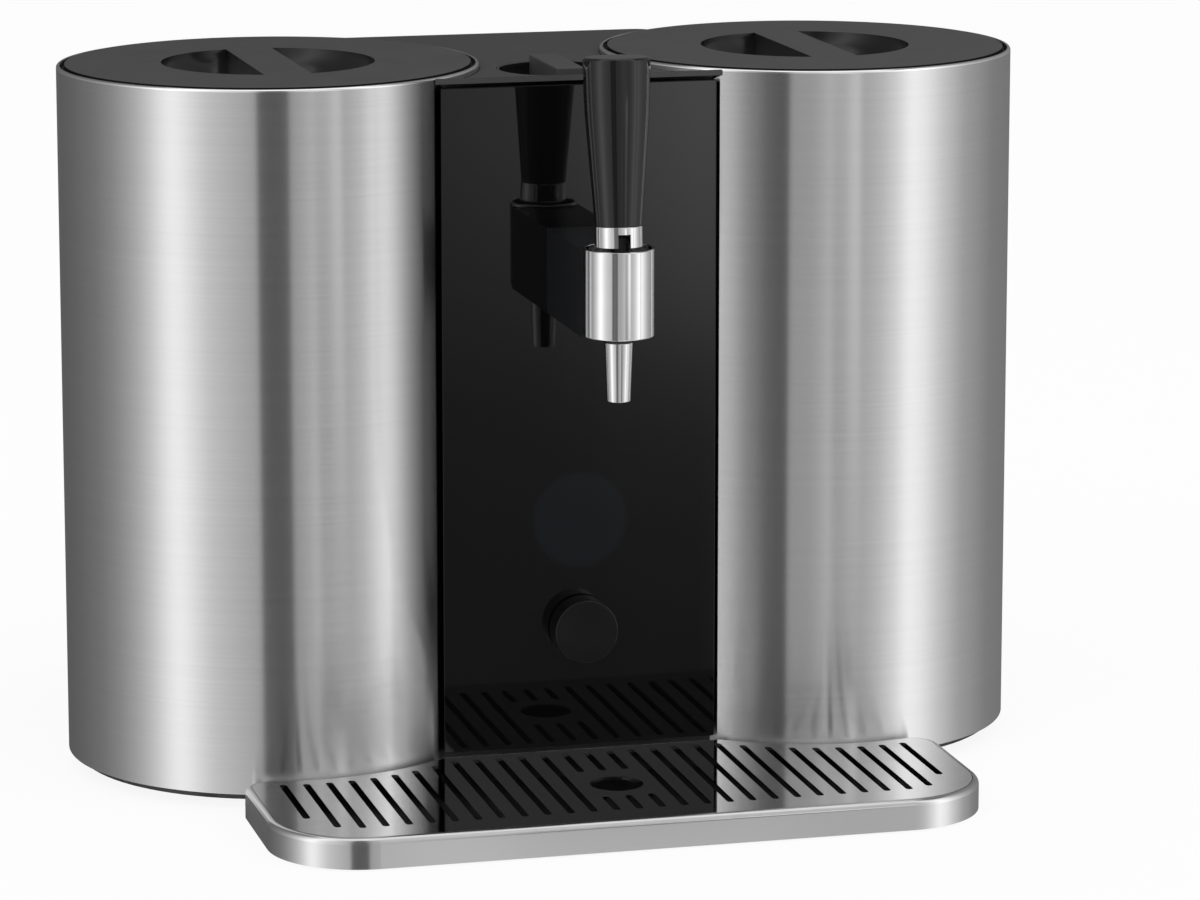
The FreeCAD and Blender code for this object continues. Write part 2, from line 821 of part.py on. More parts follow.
# Top deck and the capsule hatch under it
def top_deck():
    low = cover_top_z
    under = deck_z - deck_skin
    deck = rounded_box(-deck_half_width, deck_half_width, glass_front_y, deck_rear, low, deck_z,
                       deck_skirt_round, deck_rear)
    inner = deck_half_width - deck_skin
    hollow = rounded_box(-inner, inner, glass_front_y - 1, deck_rear - deck_skin, low - 1, under,
                         deck_skirt_round - deck_skin, deck_rear - deck_skin)
    deck = deck.cut(hollow)
    front_part = box(-drum_x, drum_x, glass_front_y - 1, cover_front_y - 10, low - 1, under)
    lip = box(-drum_x, drum_x, glass_front_y - 1, glass_back_y + deck_gap, low - 1, deck_z - deck_lip)
    deck = deck.cut(front_part).cut(lip).cut(both_drums(drum_radius + deck_gap, 0, drum_top_z))
    deck = deck.cut(post(hatch_radius, low, deck_z + 1, 0, hatch_y))
    solids = sorted(deck.Solids, key=lambda solid: solid.Volume)
    return solids[-1]


def capsule_well():
    """The cup under the hatch that holds the capsule carrier."""
    inner = hatch_radius
    outer = inner + capsule_well_wall
    top = deck_z - deck_skin - seat_gap
    low = capsule_well_floor_z
    drain = hose_radius
    ledge = hatch_ledge_z
    steps = [(drain, low), (outer, low), (outer, top - 3), (outer + capsule_well_flange, top - 3),
             (outer + capsule_well_flange, top), (inner, top), (inner, low + 2), (drain, low + 2)]
    cup = turned(steps, 0, hatch_y)
    ears = ring(inner, inner - hatch_ear_depth, ledge - 1, ledge, 0, hatch_y)
    for angle in (0, 90):
        keep = box(-hatch_ear_half, hatch_ear_half, -inner, inner, ledge - 1, ledge)
        keep.rotate(V(0, 0, 0), V(0, 0, 1), angle)
        keep.translate(V(0, hatch_y, 0))
        cup = cup.fuse(ears.common(keep))
    return cup


def hatch_plug():
    """The fixed ring under the turning hatch cap, which stands on the well's ears."""
    rest = hatch_ledge_z + loose_gap
    return post(hatch_radius - loose_gap, rest, rest + hatch_plug_thick, 0, hatch_y)


def hatch_cap():
    """The dished hatch cap with its raised grip bar."""
    low = hatch_low_z
    top = deck_z
    inner = cap_radius - hatch_rim
    floor = hatch_floor_z
    curve = hatch_dish_round
    steps = [(0, low), (cap_radius - curve, low), (cap_radius, low + curve), (cap_radius, top), (inner, top),
             (inner, floor + curve), bend((inner - curve, floor + curve), curve, 0, -90), (0, floor)]
    cap = turned(steps, 0, hatch_y)
    half = hatch_bar_width / 2
    reach = math.sqrt(cap_radius ** 2 - half ** 2) - 0.5
    bar = box(-half, half, hatch_y - reach, hatch_y + reach, floor - 0.5, top + hatch_bar_rise)
    return cap.fuse(bar).removeSplitter()


carrier_top_z = capsule_well_floor_z + 2 + loose_gap + capsule_height + 4


def capsule_places():
    reach = (capsule_radius + capsule_flange / 2 + 0.4) * 2 / math.sqrt(3)
    return [(reach * math.cos(math.radians(angle)), hatch_y + reach * math.sin(math.radians(angle)))
            for angle in (90, 210, 330)]


def capsule_carrier():
    """A lift-out plate with three pockets, a centre pin and a foot disc, which pass the well's ears."""
    radius = hatch_radius - hatch_ear_depth - loose_gap
    floor = capsule_well_floor_z + 2 + loose_gap
    plate = post(radius, carrier_top_z - carrier_plate, carrier_top_z, 0, hatch_y)
    for x, y in capsule_places():
        plate = plate.cut(post(capsule_radius + shaft_gap, floor, carrier_top_z + 1, x, y))
    pin = post(carrier_pin_radius, floor, carrier_top_z + 12, 0, hatch_y)
    foot = post(radius, floor, floor + 2, 0, hatch_y)
    knob = post(carrier_pin_radius + 2, carrier_top_z + 9, carrier_top_z + 12, 0, hatch_y)
    return plate.fuse(pin).fuse(foot).fuse(knob)


def capsules():
    """Yeast, hop and flavour capsules: tapered cups with a foil-covered flange."""
    top = carrier_top_z
    low = top - capsule_height
    neck = capsule_radius - shaft_gap
    steps = [(0, low), (neck - capsule_taper, low), (neck, top), (neck + capsule_flange / 2, top),
             (neck + capsule_flange / 2, top + 1), (0, top + 1)]
    return [turned(steps, x, y) for x, y in capsule_places()]


# Tap: bracket, shank, chrome body with a black insert, and the spout
def tap_bracket():
    half = bracket_width / 2
    low = tap_body_z - bracket_bottom_drop
    high = tap_top_z - bracket_top_drop
    arm = box(-half, half, tap_y, glass_front_y - seat_gap, low, high)
    arm = arm.cut(post(tap_radius + seat_gap, low, high, 0, tap_y))
    return arm.cut(bar_y(tap_shank_radius + seat_gap, tap_y, glass_front_y, 0, tap_hole_z))


def tap_shank():
    """The threaded tube that carries the tap through the glass."""
    start = tap_y + tap_radius - tap_body_wall
    end = shank_end_y
    tube = bar_y(tap_shank_radius, start, end, 0, tap_hole_z)
    tube = tube.cut(bar_y(tap_bore, start, end, 0, tap_hole_z))
    return tube.cut(post(tap_radius - tap_body_wall, tap_body_z, tap_top_z, 0, tap_y))


def tap_nut():
    """The hexagon nut that clamps the shank to the frame."""
    points = []
    for corner in range(7):
        angle = math.radians(60 * corner)
        points.append(V(tap_nut_radius * math.cos(angle), frame_back_y + seat_gap, tap_hole_z + tap_nut_radius * math.sin(angle)))
    nut = Part.Face(Part.makePolygon(points)).extrude(V(0, tap_nut_height, 0))
    return nut.cut(bar_y(tap_shank_radius + shaft_gap, frame_back_y, frame_end_y, 0, tap_hole_z))


def tap_sleeve():
    """The chrome body: a cup with a bright rim, open at the top."""
    inner = tap_radius - tap_body_wall
    floor = tap_body_z + tap_floor
    neck = nozzle_neck_radius + seat_gap
    steps = [(neck, tap_body_z), (tap_radius - 0.6, tap_body_z), (tap_radius, tap_body_z + 0.6),
             (tap_radius, tap_top_z - 0.6), (tap_radius - 0.6, tap_top_z), (inner, tap_top_z),
             (inner, floor), (neck, floor)]
    cup = turned(steps, 0, tap_y)
    return cup.cut(bar_y(tap_shank_radius + seat_gap, tap_y, tap_y + tap_radius + 1, 0, tap_hole_z))


def tap_insert():
    """The black core of the tap, with the valve bore and the lever's post."""
    radius = tap_radius - tap_body_wall - seat_gap
    floor = tap_body_z + tap_floor + seat_gap
    core = post(radius, floor, insert_top_z, 0, tap_y)
    valve_top = tap_hole_z + tap_bore + 1
    core = core.cut(post(plunger_tip_radius + shaft_gap, floor, valve_top, 0, tap_y))
    core = core.cut(post(plunger_rod_radius + shaft_gap, floor, insert_top_z - 1, 0, tap_y))
    core = core.cut(bar_y(tap_bore, tap_y, tap_y + radius + 1, 0, tap_hole_z))
    half = lever_post_half
    stand = box(-half, half, tap_y - lever_post_radius, tap_y + lever_post_radius, insert_top_z, lever_pivot_z)
    stand = stand.fuse(bar_x(lever_post_radius, -half, half, tap_y, lever_pivot_z))
    core = core.fuse(stand)
    return core.cut(bar_x(lever_pin_radius + shaft_gap, -half - 1, half + 1, tap_y, lever_pivot_z)).removeSplitter()


def tap_plunger():
    """The valve plunger, lifted by the lever."""
    low = tap_body_z - 0.6
    shoulder = tap_body_z + 5
    top = insert_top_z - 1 - plunger_travel - 1
    steps = [(0, low), (plunger_rod_radius, low), (plunger_tip_radius, low + 2), (plunger_tip_radius, shoulder),
             (plunger_rod_radius, shoulder + 2), (plunger_rod_radius, top), (0, top)]
    return turned(steps, 0, tap_y)


def tap_nozzle():
    tip = tap_body_z - nozzle_neck - nozzle_length
    top = tap_body_z - nozzle_neck
    seat = nozzle_bore - loose_gap
    steps = [(nozzle_bore, tip), (nozzle_tip_radius, tip), (nozzle_top_radius, top),
             (nozzle_neck_radius, top), (nozzle_neck_radius, tap_body_z + tap_floor),
             (seat, tap_body_z + tap_floor), (seat, top), (nozzle_bore, top)]
    return turned(steps, 0, tap_y)


def spout_seal():
    """The dark ring between the spout and the chrome body."""
    low = tap_body_z - nozzle_neck + seat_gap
    return ring(nozzle_top_radius - 0.5, nozzle_neck_radius + seat_gap, low, tap_body_z - seat_gap, 0, tap_y)


def leaned(shape):
    """Lean a piece of the lever back about its pivot."""
    shape.rotate(V(0, tap_y, lever_pivot_z), V(1, 0, 0), -lever_lean)
    return shape


ferrule_z = lever_pivot_z - ferrule_skirt
handle_z = ferrule_z + ferrule_height


def lever_ferrule():
    """The chrome collar at the foot of the lever, slotted where the post swings through."""
    inner = ferrule_radius - ferrule_wall
    roof = handle_z - ferrule_roof
    steps = [(inner, ferrule_z), (ferrule_radius, ferrule_z), (ferrule_radius, handle_z), (0, handle_z),
             (0, roof), (inner, roof)]
    collar = turned(steps, 0, tap_y)
    half = ferrule_notch_width / 2
    notch = box(-half, half, tap_y - ferrule_radius - 1, tap_y, ferrule_z - 1, ferrule_z + ferrule_notch_height)
    pin_hole = bar_x(lever_pin_radius + shaft_gap, -ferrule_radius - 1, ferrule_radius + 1, tap_y, lever_pivot_z)
    return leaned(collar.cut(notch).cut(pin_hole))


def lever_pin():
    reach = ferrule_radius - 0.4
    return leaned(bar_x(lever_pin_radius, -reach, reach, tap_y, lever_pivot_z))


def lever_handle():
    waist = handle_z + handle_waist_rise
    top = handle_z + handle_height
    steps = [(0, handle_z), (handle_bottom_radius, handle_z), (handle_waist_radius, waist),
             (handle_top_radius, top - handle_bevel), (handle_top_radius - handle_bevel, top), (0, top)]
    return leaned(turned(steps, 0, tap_y))


# Drip tray: steel band, moulded pan and slotted plate
def tray_plan(inset, z0, z1):
    """The tray's outline, set in from its edge: rounded in front, hugging the drums behind."""
    half = tray_width / 2 - inset
    front = -front_reach + inset
    rear = glass_front_y - tray_drum_gap - inset
    block = rounded_box(-half, half, front, rear, z0, z1, tray_corner - inset, front)
    block = block.cut(both_drums(drum_radius + tray_drum_gap + inset, z0, z1))
    tips = []
    for edge in block.Edges:
        middle = edge.CenterOfMass
        upright = edge.BoundBox.ZLength > z1 - z0 - 1e-6 and edge.BoundBox.XLength < 1e-6
        if upright and abs(abs(middle.x) - half) < 1e-4 and middle.y > front + tray_corner:
            tips.append(edge)
    return block.makeFillet(tray_tip_round - inset, tips)


def tray_band():
    """The steel band, notched behind for the pan's tongue."""
    low = tray_foot_height
    band = tray_plan(0, low, tray_top_z).cut(tray_plan(tray_sheet, low, tray_top_z))
    half = tongue_half_width + seat_gap
    rear = glass_front_y - tray_drum_gap
    return band.cut(box(-half, half, rear - tray_corner, rear + 1, low, tongue_top_z + seat_gap))


plate_z = tray_top_z - plate_thick
tongue_top_z = base_z - loose_gap


def tray_pan():
    """The moulded pan in the band, with low feet and a tongue that slides under the base."""
    outer = tray_sheet + seat_gap
    low = tray_foot_height
    pan = tray_plan(outer, low, plate_z - loose_gap)
    pan = pan.cut(tray_plan(outer + pan_wall, low + pan_floor, plate_z))
    rear = glass_front_y - tray_drum_gap - outer
    tongue = box(-tongue_half_width, tongue_half_width, rear - 1, rear + tongue_reach, low, tongue_top_z)
    pan = pan.fuse(tongue)
    foot_x = tray_width / 2 - tray_corner
    for x, y in ((-foot_x, -front_reach + tray_corner), (foot_x, -front_reach + tray_corner),
                 (-foot_x, -drum_radius - 3 * tray_foot_radius), (foot_x, -drum_radius - 3 * tray_foot_radius)):
        pan = pan.fuse(post(tray_foot_radius, 0, low + pan_floor / 2, x, y))
    return pan.removeSplitter()


def slot(x, y0, y1):
    """One round-ended slot through the plate."""
    half = slot_width / 2
    low = plate_z - 1
    high = tray_top_z + 1
    middle = box(x - half, x + half, y0 + half, y1 - half, low, high)
    return middle.fuse(post(half, low, high, x, y0 + half)).fuse(post(half, low, high, x, y1 - half))


def drip_grille():
    plate = tray_plan(tray_sheet + plate_edge_gap, plate_z, tray_top_z)
    rear_line = glass_front_y - slot_rear_margin
    front_line = -front_reach + slot_front_margin
    corner_x = tray_width / 2 - tray_corner
    corner_y = -front_reach + tray_corner
    corner_arc = tray_corner - slot_corner_margin
    cuts = [post(drain_radius, plate_z - 1, tray_top_z + 1, 0, -drain_reach)]
    for count in range(-slots_each_side, slots_each_side + 1):
        x = count * slot_pitch
        away = abs(x) - drum_x
        drum_arc = drum_radius + slot_rear_margin
        rear = min(rear_line, -math.sqrt(max(0.0, drum_arc ** 2 - away ** 2)))
        past = abs(x) - corner_x
        front = front_line
        if past > 0:
            front = max(front_line, corner_y - math.sqrt(max(0.0, corner_arc ** 2 - past ** 2)))
        if abs(x) < drain_radius:
            cuts.append(slot(x, front, -drain_reach - drain_margin))
            cuts.append(slot(x, -drain_reach + drain_margin + 4, rear))
        else:
            cuts.append(slot(x, front, rear))
    return plate.cut(cuts)


# Rear cover, its screws and the mains inlet
def cover_body(inset, z0):
    """The cover's outside, or its inside when set in by the wall."""
    half = cover_half_width - inset
    rear = cover_back_y - inset
    high = cover_top_z - inset
    back_high = high - cover_fall
    radius = cover_edge_round - inset
    slope = math.atan2(cover_fall, rear - deck_rear)
    knee_y = rear - radius
    knee_z = back_high - radius
    reach = (math.sin(slope), math.cos(slope))
    start = (knee_y + radius * reach[0], knee_z + radius * reach[1])
    steps = [(cover_front_y - inset, z0), (rear, z0), (rear, knee_z),
             bend((knee_y, knee_z), radius, 0, 90 - math.degrees(slope)), (deck_rear, start[1] + (start[0] - deck_rear) * math.tan(slope)),
             (cover_front_y - inset, start[1] + (start[0] - deck_rear) * math.tan(slope))]
    plan = rounded_box(-half, half, cover_front_y - inset, rear, z0, drum_top_z, cover_corner - inset, rear)
    return side_prism(steps, cover_half_width + 1).common(plan)


def louvres(x_middle):
    """A bank of level slots through the back wall."""
    half = louvre_length / 2
    cuts = []
    for count in range(louvre_count):
        z = louvre_bottom_z + count * louvre_pitch
        cuts.append(box(x_middle - half, x_middle + half, cover_inner_y - 1, cover_back_y + 1, z, z + louvre_width))
    return cuts


def rear_cover():
    cover = cover_body(0, base_z).cut(cover_body(cover_wall, base_z - 1))
    cover = cover.cut(both_drums(drum_radius + loose_gap, 0, drum_top_z))
    solids = sorted(cover.Solids, key=lambda solid: solid.Volume)
    cover = solids[-1]
    cuts = louvres(condenser_x) + louvres(-condenser_x)
    half_w = inlet_width / 2 + seat_gap
    half_h = inlet_height / 2 + seat_gap
    cuts.append(box(inlet_x - half_w, inlet_x + half_w, cover_inner_y - 1, cover_back_y + 1,
                    inlet_z - half_h, inlet_z + half_h))
    for x, z in screw_places():
        cuts.append(bar_y(screw_shank + seat_gap, cover_inner_y - 1, cover_back_y + 1, x, z))
    return cover.cut(cuts)


def screw_places():
    side = cover_half_width - cover_corner - 8
    high = cover_top_z - cover_fall - cover_edge_round - 14
    low = base_z + 16
    middle_z = (high + low) / 2
    return [(-side - 6, low), (0, low), (side + 6, low), (0, high), (-side - 6, high), (side + 6, high),
            (0, middle_z)]


def cover_screws():
    shapes = []
    for x, z in screw_places():
        steps = [(0, rear_reach), (screw_radius - 1, rear_reach),
                 (screw_radius, cover_back_y + seat_gap), (screw_shank, cover_back_y + seat_gap),
                 (screw_shank, cover_back_y - screw_length), (0, cover_back_y - screw_length)]
        shapes.append(turned_y(steps, x, z))
    return shapes


# Cooling: compressor on rubber mounts, condenser and fan
def compressor_foot_places():
    return [(compressor_foot_reach * math.cos(math.radians(angle)),
             compressor_y + compressor_foot_reach * math.sin(math.radians(angle)))
            for angle in (90, 210, 330)]


def compressor():
    low = sleeve_z + compressor_mount_height
    top = low + compressor_height
    knee = (compressor_radius - compressor_dome, top - compressor_dome)
    steps = [(0, low), (compressor_radius, low), (compressor_radius, top - compressor_dome),
             bend(knee, compressor_dome, 0, 90), (0, top)]
    shell = turned(steps, 0, compressor_y)
    for x, y in compressor_foot_places():
        shell = shell.fuse(post(compressor_mount_radius, low, low + compressor_foot_sheet, x, y))
        arm = box(0, compressor_foot_reach, -compressor_mount_radius, compressor_mount_radius, low,
                  low + compressor_foot_sheet)
        arm.rotate(V(0, 0, 0), V(0, 0, 1), math.degrees(math.atan2(y - compressor_y, x)))
        arm.translate(V(0, compressor_y, 0))
        shell = shell.fuse(arm)
    return shell.removeSplitter()


def compressor_mounts():
    high = sleeve_z + compressor_mount_height
    return [post(compressor_mount_radius, sleeve_z, high, x, y) for x, y in compressor_foot_places()]


def condenser():
    """Upright fins on flat, level tubes."""
    left = condenser_x - condenser_half_width
    right = condenser_x + condenser_half_width
    pitch = (right - left - condenser_fin_sheet) / (condenser_fins - 1)
    high = sleeve_z + condenser_height
    middle = condenser_y + condenser_depth / 2
    fins = []
    for count in range(condenser_fins):
        x = left + count * pitch
        fins.append(box(x, x + condenser_fin_sheet, condenser_y, condenser_y + condenser_depth, sleeve_z, high))
    tubes = []
    for count in range(condenser_tubes):
        z = sleeve_z + condenser_height * (count + 0.5) / condenser_tubes
        half = condenser_tube_height / 2
        tubes.append(box(left, right, middle - condenser_tube_half, middle + condenser_tube_half, z - half, z + half))
    return fins[0].fuse(fins[1:] + tubes)


def fan_shroud():
    """The square fan frame with its motor and axle, held against the condenser."""
    back = fan_y + fan_depth
    frame = box(condenser_x - fan_half, condenser_x + fan_half, fan_y, back, fan_z - fan_half, fan_z + fan_half)
    frame = frame.cut(bar_y(fan_duct_radius, fan_y, back, condenser_x, fan_z))
    strut = fan_strut / 2
    level = box(condenser_x - fan_half, condenser_x + fan_half, back - fan_strut, back, fan_z - strut, fan_z + strut)
    upright = box(condenser_x - strut, condenser_x + strut, back - fan_strut, back, fan_z - fan_half, fan_z + fan_half)
    motor = bar_y(fan_hub_radius, back - fan_motor_depth, back, condenser_x, fan_z)
    axle = bar_y(fan_axle_radius, fan_y + fan_strut, back, condenser_x, fan_z)
    return frame.fuse([level, upright, motor, axle])


def fan_impeller():
    front = fan_y + fan_strut - 1
    back = fan_y + fan_depth - fan_motor_depth - loose_gap
    hub = bar_y(fan_hub_radius, front, back)
    blades = []
    reach = fan_duct_radius - fan_tip_gap
    middle = (front + back) / 2
    for count in range(fan_blades):
        blade = box(-fan_blade_sheet / 2, fan_blade_sheet / 2, -fan_blade_chord / 2, fan_blade_chord / 2,
                    fan_hub_radius - 1, reach)
        blade.rotate(V(0, 0, 0), V(0, 0, 1), fan_blade_pitch)
        blade.translate(V(0, middle, 0))
        blade.rotate(V(0, 0, 0), V(0, 1, 0), 360 * count / fan_blades)
        blades.append(blade)
    wheel = hub.fuse(blades)
    wheel = wheel.common(bar_y(reach, front, back))
    wheel = wheel.cut(bar_y(fan_axle_radius + shaft_gap, front - 1, back + 1))
    wheel.translate(V(condenser_x, 0, fan_z))
    return wheel


# Liquids: pump, hoses and the block of valves under the capsule well
def water_pump():
    high = sleeve_z + pump_height
    body = post(pump_radius, sleeve_z, high, pump_x, pump_y)
    start = pump_y - pump_radius - hose_radius
    inlet = bar_y(hose_radius, start, pump_y, pump_x, hose_z)
    outlet = post(hose_radius, high, high + hose_radius, pump_x, pump_y)
    return body.fuse(inlet).fuse(outlet)


valve_block_z = capsule_well_floor_z - seat_gap - valve_block_height


def hoses():
    """Keg to tap, tank to pump, and pump to valve block."""
    spigot_x = drum_x - port_radius - coupler_wall - hose_radius
    tail_y = shank_end_y + hose_end_run
    beer = hose([V(-spigot_x, 0, hose_z), V(0, 0, hose_z), V(0, tail_y, hose_z),
                 V(0, tail_y, tap_hole_z), V(0, shank_end_y, tap_hole_z)], hose_radius, hose_wall, hose_bend)
    water = hose([V(spigot_x, 0, hose_z), V(pump_x, 0, hose_z),
                  V(pump_x, pump_y - pump_radius - hose_radius, hose_z)], hose_radius, hose_wall, hose_bend)
    riser = ring(hose_radius, hose_radius - hose_wall, sleeve_z + pump_height + hose_radius, valve_block_z,
                 pump_x, pump_y)
    return beer, water, riser


def valve_block():
    """The block that sends water through the capsules, with three solenoid coils below."""
    half = valve_block_half
    front = hatch_y + valve_block_front
    high = valve_block_z + valve_block_height
    block = box(-half, half, front, front + valve_block_length, valve_block_z, high)
    for x, y in ((-half / 2, front + coil_radius), (-half / 2, front + 4 * coil_radius),
                 (half / 2, front + coil_radius)):
        block = block.fuse(post(coil_radius, valve_block_z - coil_height, valve_block_z, x, y))
    return block


# Power: the supply board and the mains inlet
def power_board():
    """A level board on four stands, with its transformer, heat sink and capacitors."""
    x0 = power_board_x - power_board_half_width
    x1 = power_board_x + power_board_half_width
    y1 = cover_inner_y - power_board_gap
    y0 = y1 - power_board_length
    low = sleeve_z + power_board_stand
    top = low + board_thick
    board = box(x0, x1, y0, y1, low, top)
    edge = power_board_edge
    for x in (x0 + edge, x1 - edge):
        for y in (y0 + edge, y1 - edge):
            board = board.fuse(post(power_board_stand_radius, sleeve_z, low, x, y))
    wide = x1 - x0
    long = y1 - y0
    high = top + power_parts_height
    blocks = [(0.07, 0.45, 0.11, 0.53), (0.57, 0.61, 0.11, 0.61)]
    for left, right, front, back in blocks:
        board = board.fuse(box(x0 + left * wide, x0 + right * wide, y0 + front * long, y0 + back * long, top, high))
    for count in range(sink_fins):
        y = y0 + (0.14 + 0.14 * count) * long
        board = board.fuse(box(x0 + 0.61 * wide, x0 + 0.75 * wide, y, y + sink_fin_sheet, top, high))
    for share in (0.22, 0.47):
        board = board.fuse(post(0.07 * wide, top, high, x1 - 0.11 * wide, y0 + share * long))
    return board


def power_inlet():
    """The three-blade mains socket, flush with the cover's back."""
    half_w = inlet_width / 2
    half_h = inlet_height / 2
    front = cover_back_y - inlet_depth
    body = box(inlet_x - half_w, inlet_x + half_w, front, cover_back_y, inlet_z - half_h, inlet_z + half_h)
    floor = cover_back_y - inlet_recess
    body = body.cut(box(inlet_x - half_w + inlet_wall, inlet_x + half_w - inlet_wall, floor, cover_back_y + 1,
                        inlet_z - half_h + inlet_wall, inlet_z + half_h - inlet_wall))
    for x, z in ((-7, -2), (0, 2), (7, -2)):
        body = body.fuse(box(inlet_x + x - 1, inlet_x + x + 1, floor - 1, floor + inlet_blade_length,
                             inlet_z + z - 2, inlet_z + z + 2))
    return body


os.makedirs("parts", exist_ok=True)
save("base_pan", base_pan())
save("feet", *feet())
save("left_drum_sleeve", drum_sleeve(-1))
save("right_drum_sleeve", drum_sleeve(1))
save("left_well", well(-1))
save("right_well", well(1))
save("keg_foam", keg_foam())
save("cooling_jacket", cooling_jacket())
save("outlet_couplers", coupler(-1), coupler(1))
save("left_lid_cap", lid_cap(-1))
save("right_lid_cap", lid_cap(1))
save("left_lid_plug", lid_plug(-1))
save("right_lid_plug", lid_plug(1))
save("left_lid_seal", lid_seal(-1))
save("right_lid_seal", lid_seal(1))
save("fermenting_keg", keg())
save("keg_cap", keg_cap())
save("keg_valve", vessel_valve(-1))
save("water_tank", water_tank())
save("tank_valve", vessel_valve(1))
save("front_frame", front_frame())
save("front_glass", front_glass())
save("display_module", display_module())
save("control_board", control_board())
save("dial_encoder", encoder())
save("dial_knob", dial_knob())
save("dial_stem", dial_stem())
save("top_deck", top_deck())
save("capsule_well", capsule_well())
save("hatch_plug", hatch_plug())
save("hatch_cap", hatch_cap())
save("capsule_carrier", capsule_carrier())
save("capsules", *capsules())
save("tap_bracket", tap_bracket())
save("tap_shank", tap_shank())
save("tap_nut", tap_nut())
save("tap_sleeve", tap_sleeve())
save("tap_insert", tap_insert())
save("tap_plunger", tap_plunger())
save("tap_nozzle", tap_nozzle())
save("spout_seal", spout_seal())
save("lever_ferrule", lever_ferrule())
save("lever_pin", lever_pin())
save("lever_handle", lever_handle())
save("tray_band", tray_band())
save("tray_pan", tray_pan())
save("drip_grille", drip_grille())
save("rear_cover", rear_cover())
save("cover_screws", *cover_screws())
save("compressor", compressor())
save("compressor_mounts", *compressor_mounts())
save("condenser", condenser())
save("fan_shroud", fan_shroud())
save("fan_impeller", fan_impeller())
save("water_pump", water_pump())
save("hoses", *hoses())
save("valve_block", valve_block())
save("power_board", power_board())
save("power_inlet", power_inlet())
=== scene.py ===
# %% [markdown]
# # Dressing a capsule beer brewer
# The machine has two brushed-steel drums, a black glass column between them with a lever tap and a dial,
# a capsule hatch on top and a slotted drip tray in front. Its solids come packed from CAD, and every
# piece made here stands in for one of them at the same place, with rounded edges and a real finish.

# %% Tools and the fixed frame
import math

import bmesh
import bpy
from mathutils import Matrix, Vector


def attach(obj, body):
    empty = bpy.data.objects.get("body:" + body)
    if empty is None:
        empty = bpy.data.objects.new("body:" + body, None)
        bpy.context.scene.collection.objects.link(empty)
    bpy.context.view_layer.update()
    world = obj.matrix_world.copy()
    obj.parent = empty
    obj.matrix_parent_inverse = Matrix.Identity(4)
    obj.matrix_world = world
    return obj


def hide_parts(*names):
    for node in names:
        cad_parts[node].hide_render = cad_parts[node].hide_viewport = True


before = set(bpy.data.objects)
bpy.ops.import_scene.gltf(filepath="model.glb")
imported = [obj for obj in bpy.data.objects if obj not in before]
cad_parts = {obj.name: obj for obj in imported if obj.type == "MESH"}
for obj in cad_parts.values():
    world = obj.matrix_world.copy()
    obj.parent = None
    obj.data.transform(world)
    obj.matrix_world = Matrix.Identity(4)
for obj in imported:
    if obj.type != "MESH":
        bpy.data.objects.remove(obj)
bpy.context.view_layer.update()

# %% [markdown]
# ## Sizes
# Shapes are drawn in millimetres about the line through the two drum centres, as the CAD draws them.
# Only at the end is each piece moved back by the depth of that line and scaled to metres.

# %% Sizes of the machine in millimetres
METRE = 0.001
drum_line = 5.5
drum_x = 146.85
drum_radius = 110.65
drum_bottom = 8.0
drum_top = 375.0
lid_radius = 107.25
glass_front = -85.7
deck_top = 371.0
tap_y = -164.8
lever_lean = math.radians(3.0)
lever_pivot = Vector((0, tap_y, 300.0))
knob_z = 82.0
hatch_y = -36.0
tray_front = -230.0
tray_half = 186.4
tray_top = 16.5
drain_y = -161.5
print("drums are", 2 * drum_radius, "mm across and", 2 * drum_x, "mm apart")

# %% [markdown]
# ## The camera
# The picture was taken a little from the left and from above, with a long lens from about 2.6 m.
# A small downward shift lets the camera tilt less, so the drums stay nearly upright in the picture.

# %% Camera at the photograph's place
camera_turn = math.radians(14.52)
camera_tilt = math.radians(10.31)
camera_data = bpy.data.cameras.new("camera")
camera_data.lens = 150.5
camera_data.shift_y = -0.1
camera_data.clip_end = 50
camera = bpy.data.objects.new("camera", camera_data)
camera.location = (-0.6335, -2.568, 0.707)
camera.rotation_euler = (math.pi / 2 - camera_tilt, 0, -camera_turn)
bpy.context.scene.collection.objects.link(camera)
bpy.context.scene.camera = camera
bpy.context.scene.view_settings.view_transform = "Standard"
print("camera stands", round(camera.location.length, 2), "m away")

# %% [markdown]
# ## Nodes without repetition
# A material is a small network. One helper adds a node, sets its settings and fills its sockets:
# a socket given as a value links the two nodes, anything else becomes the socket's own number.

# %% A helper that adds one node
def node(tree, kind, inputs=None, **settings):
    made = tree.nodes.new("ShaderNode" + kind)
    for name, value in settings.items():
        setattr(made, name, value)
    for name, value in (inputs or {}).items():
        if isinstance(value, bpy.types.NodeSocket):
            tree.links.new(value, made.inputs[name])
        else:
            made.inputs[name].default_value = value
    return made


def calc(tree, operation, first, second=0.0, clamp=False):
    made = node(tree, "Math", {0: first, 1: second}, operation=operation, use_clamp=clamp)
    return made.outputs[0]


def seen_directly(tree):
    """1 for the camera and for rays that metal and glass send out, 0 for the light that surfaces scatter."""
    path = node(tree, "LightPath")
    metal = calc(tree, "MAXIMUM", path.outputs["Is Camera Ray"], path.outputs["Is Glossy Ray"])
    return calc(tree, "MAXIMUM", metal, path.outputs["Is Transmission Ray"])


def ramp(tree, fac, stops):
    """A colour ramp of grey stops (place, value)."""
    made = node(tree, "ValToRGB", {"Fac": fac})
    elements = made.color_ramp.elements
    while len(elements) < len(stops):
        elements.new(0.5)
    while len(elements) > len(stops):
        elements.remove(elements[-1])
    for element, (place, value) in zip(elements, stops):
        element.position = place
        element.color = (value, value, value, 1)
    return made.outputs["Color"]


# %% [markdown]
# ## White studio
# The background is plain white. The floor and the sky show as white to the camera and in reflections,
# while the light that they scatter on the machine stays soft, so the floor still keeps its shadow.

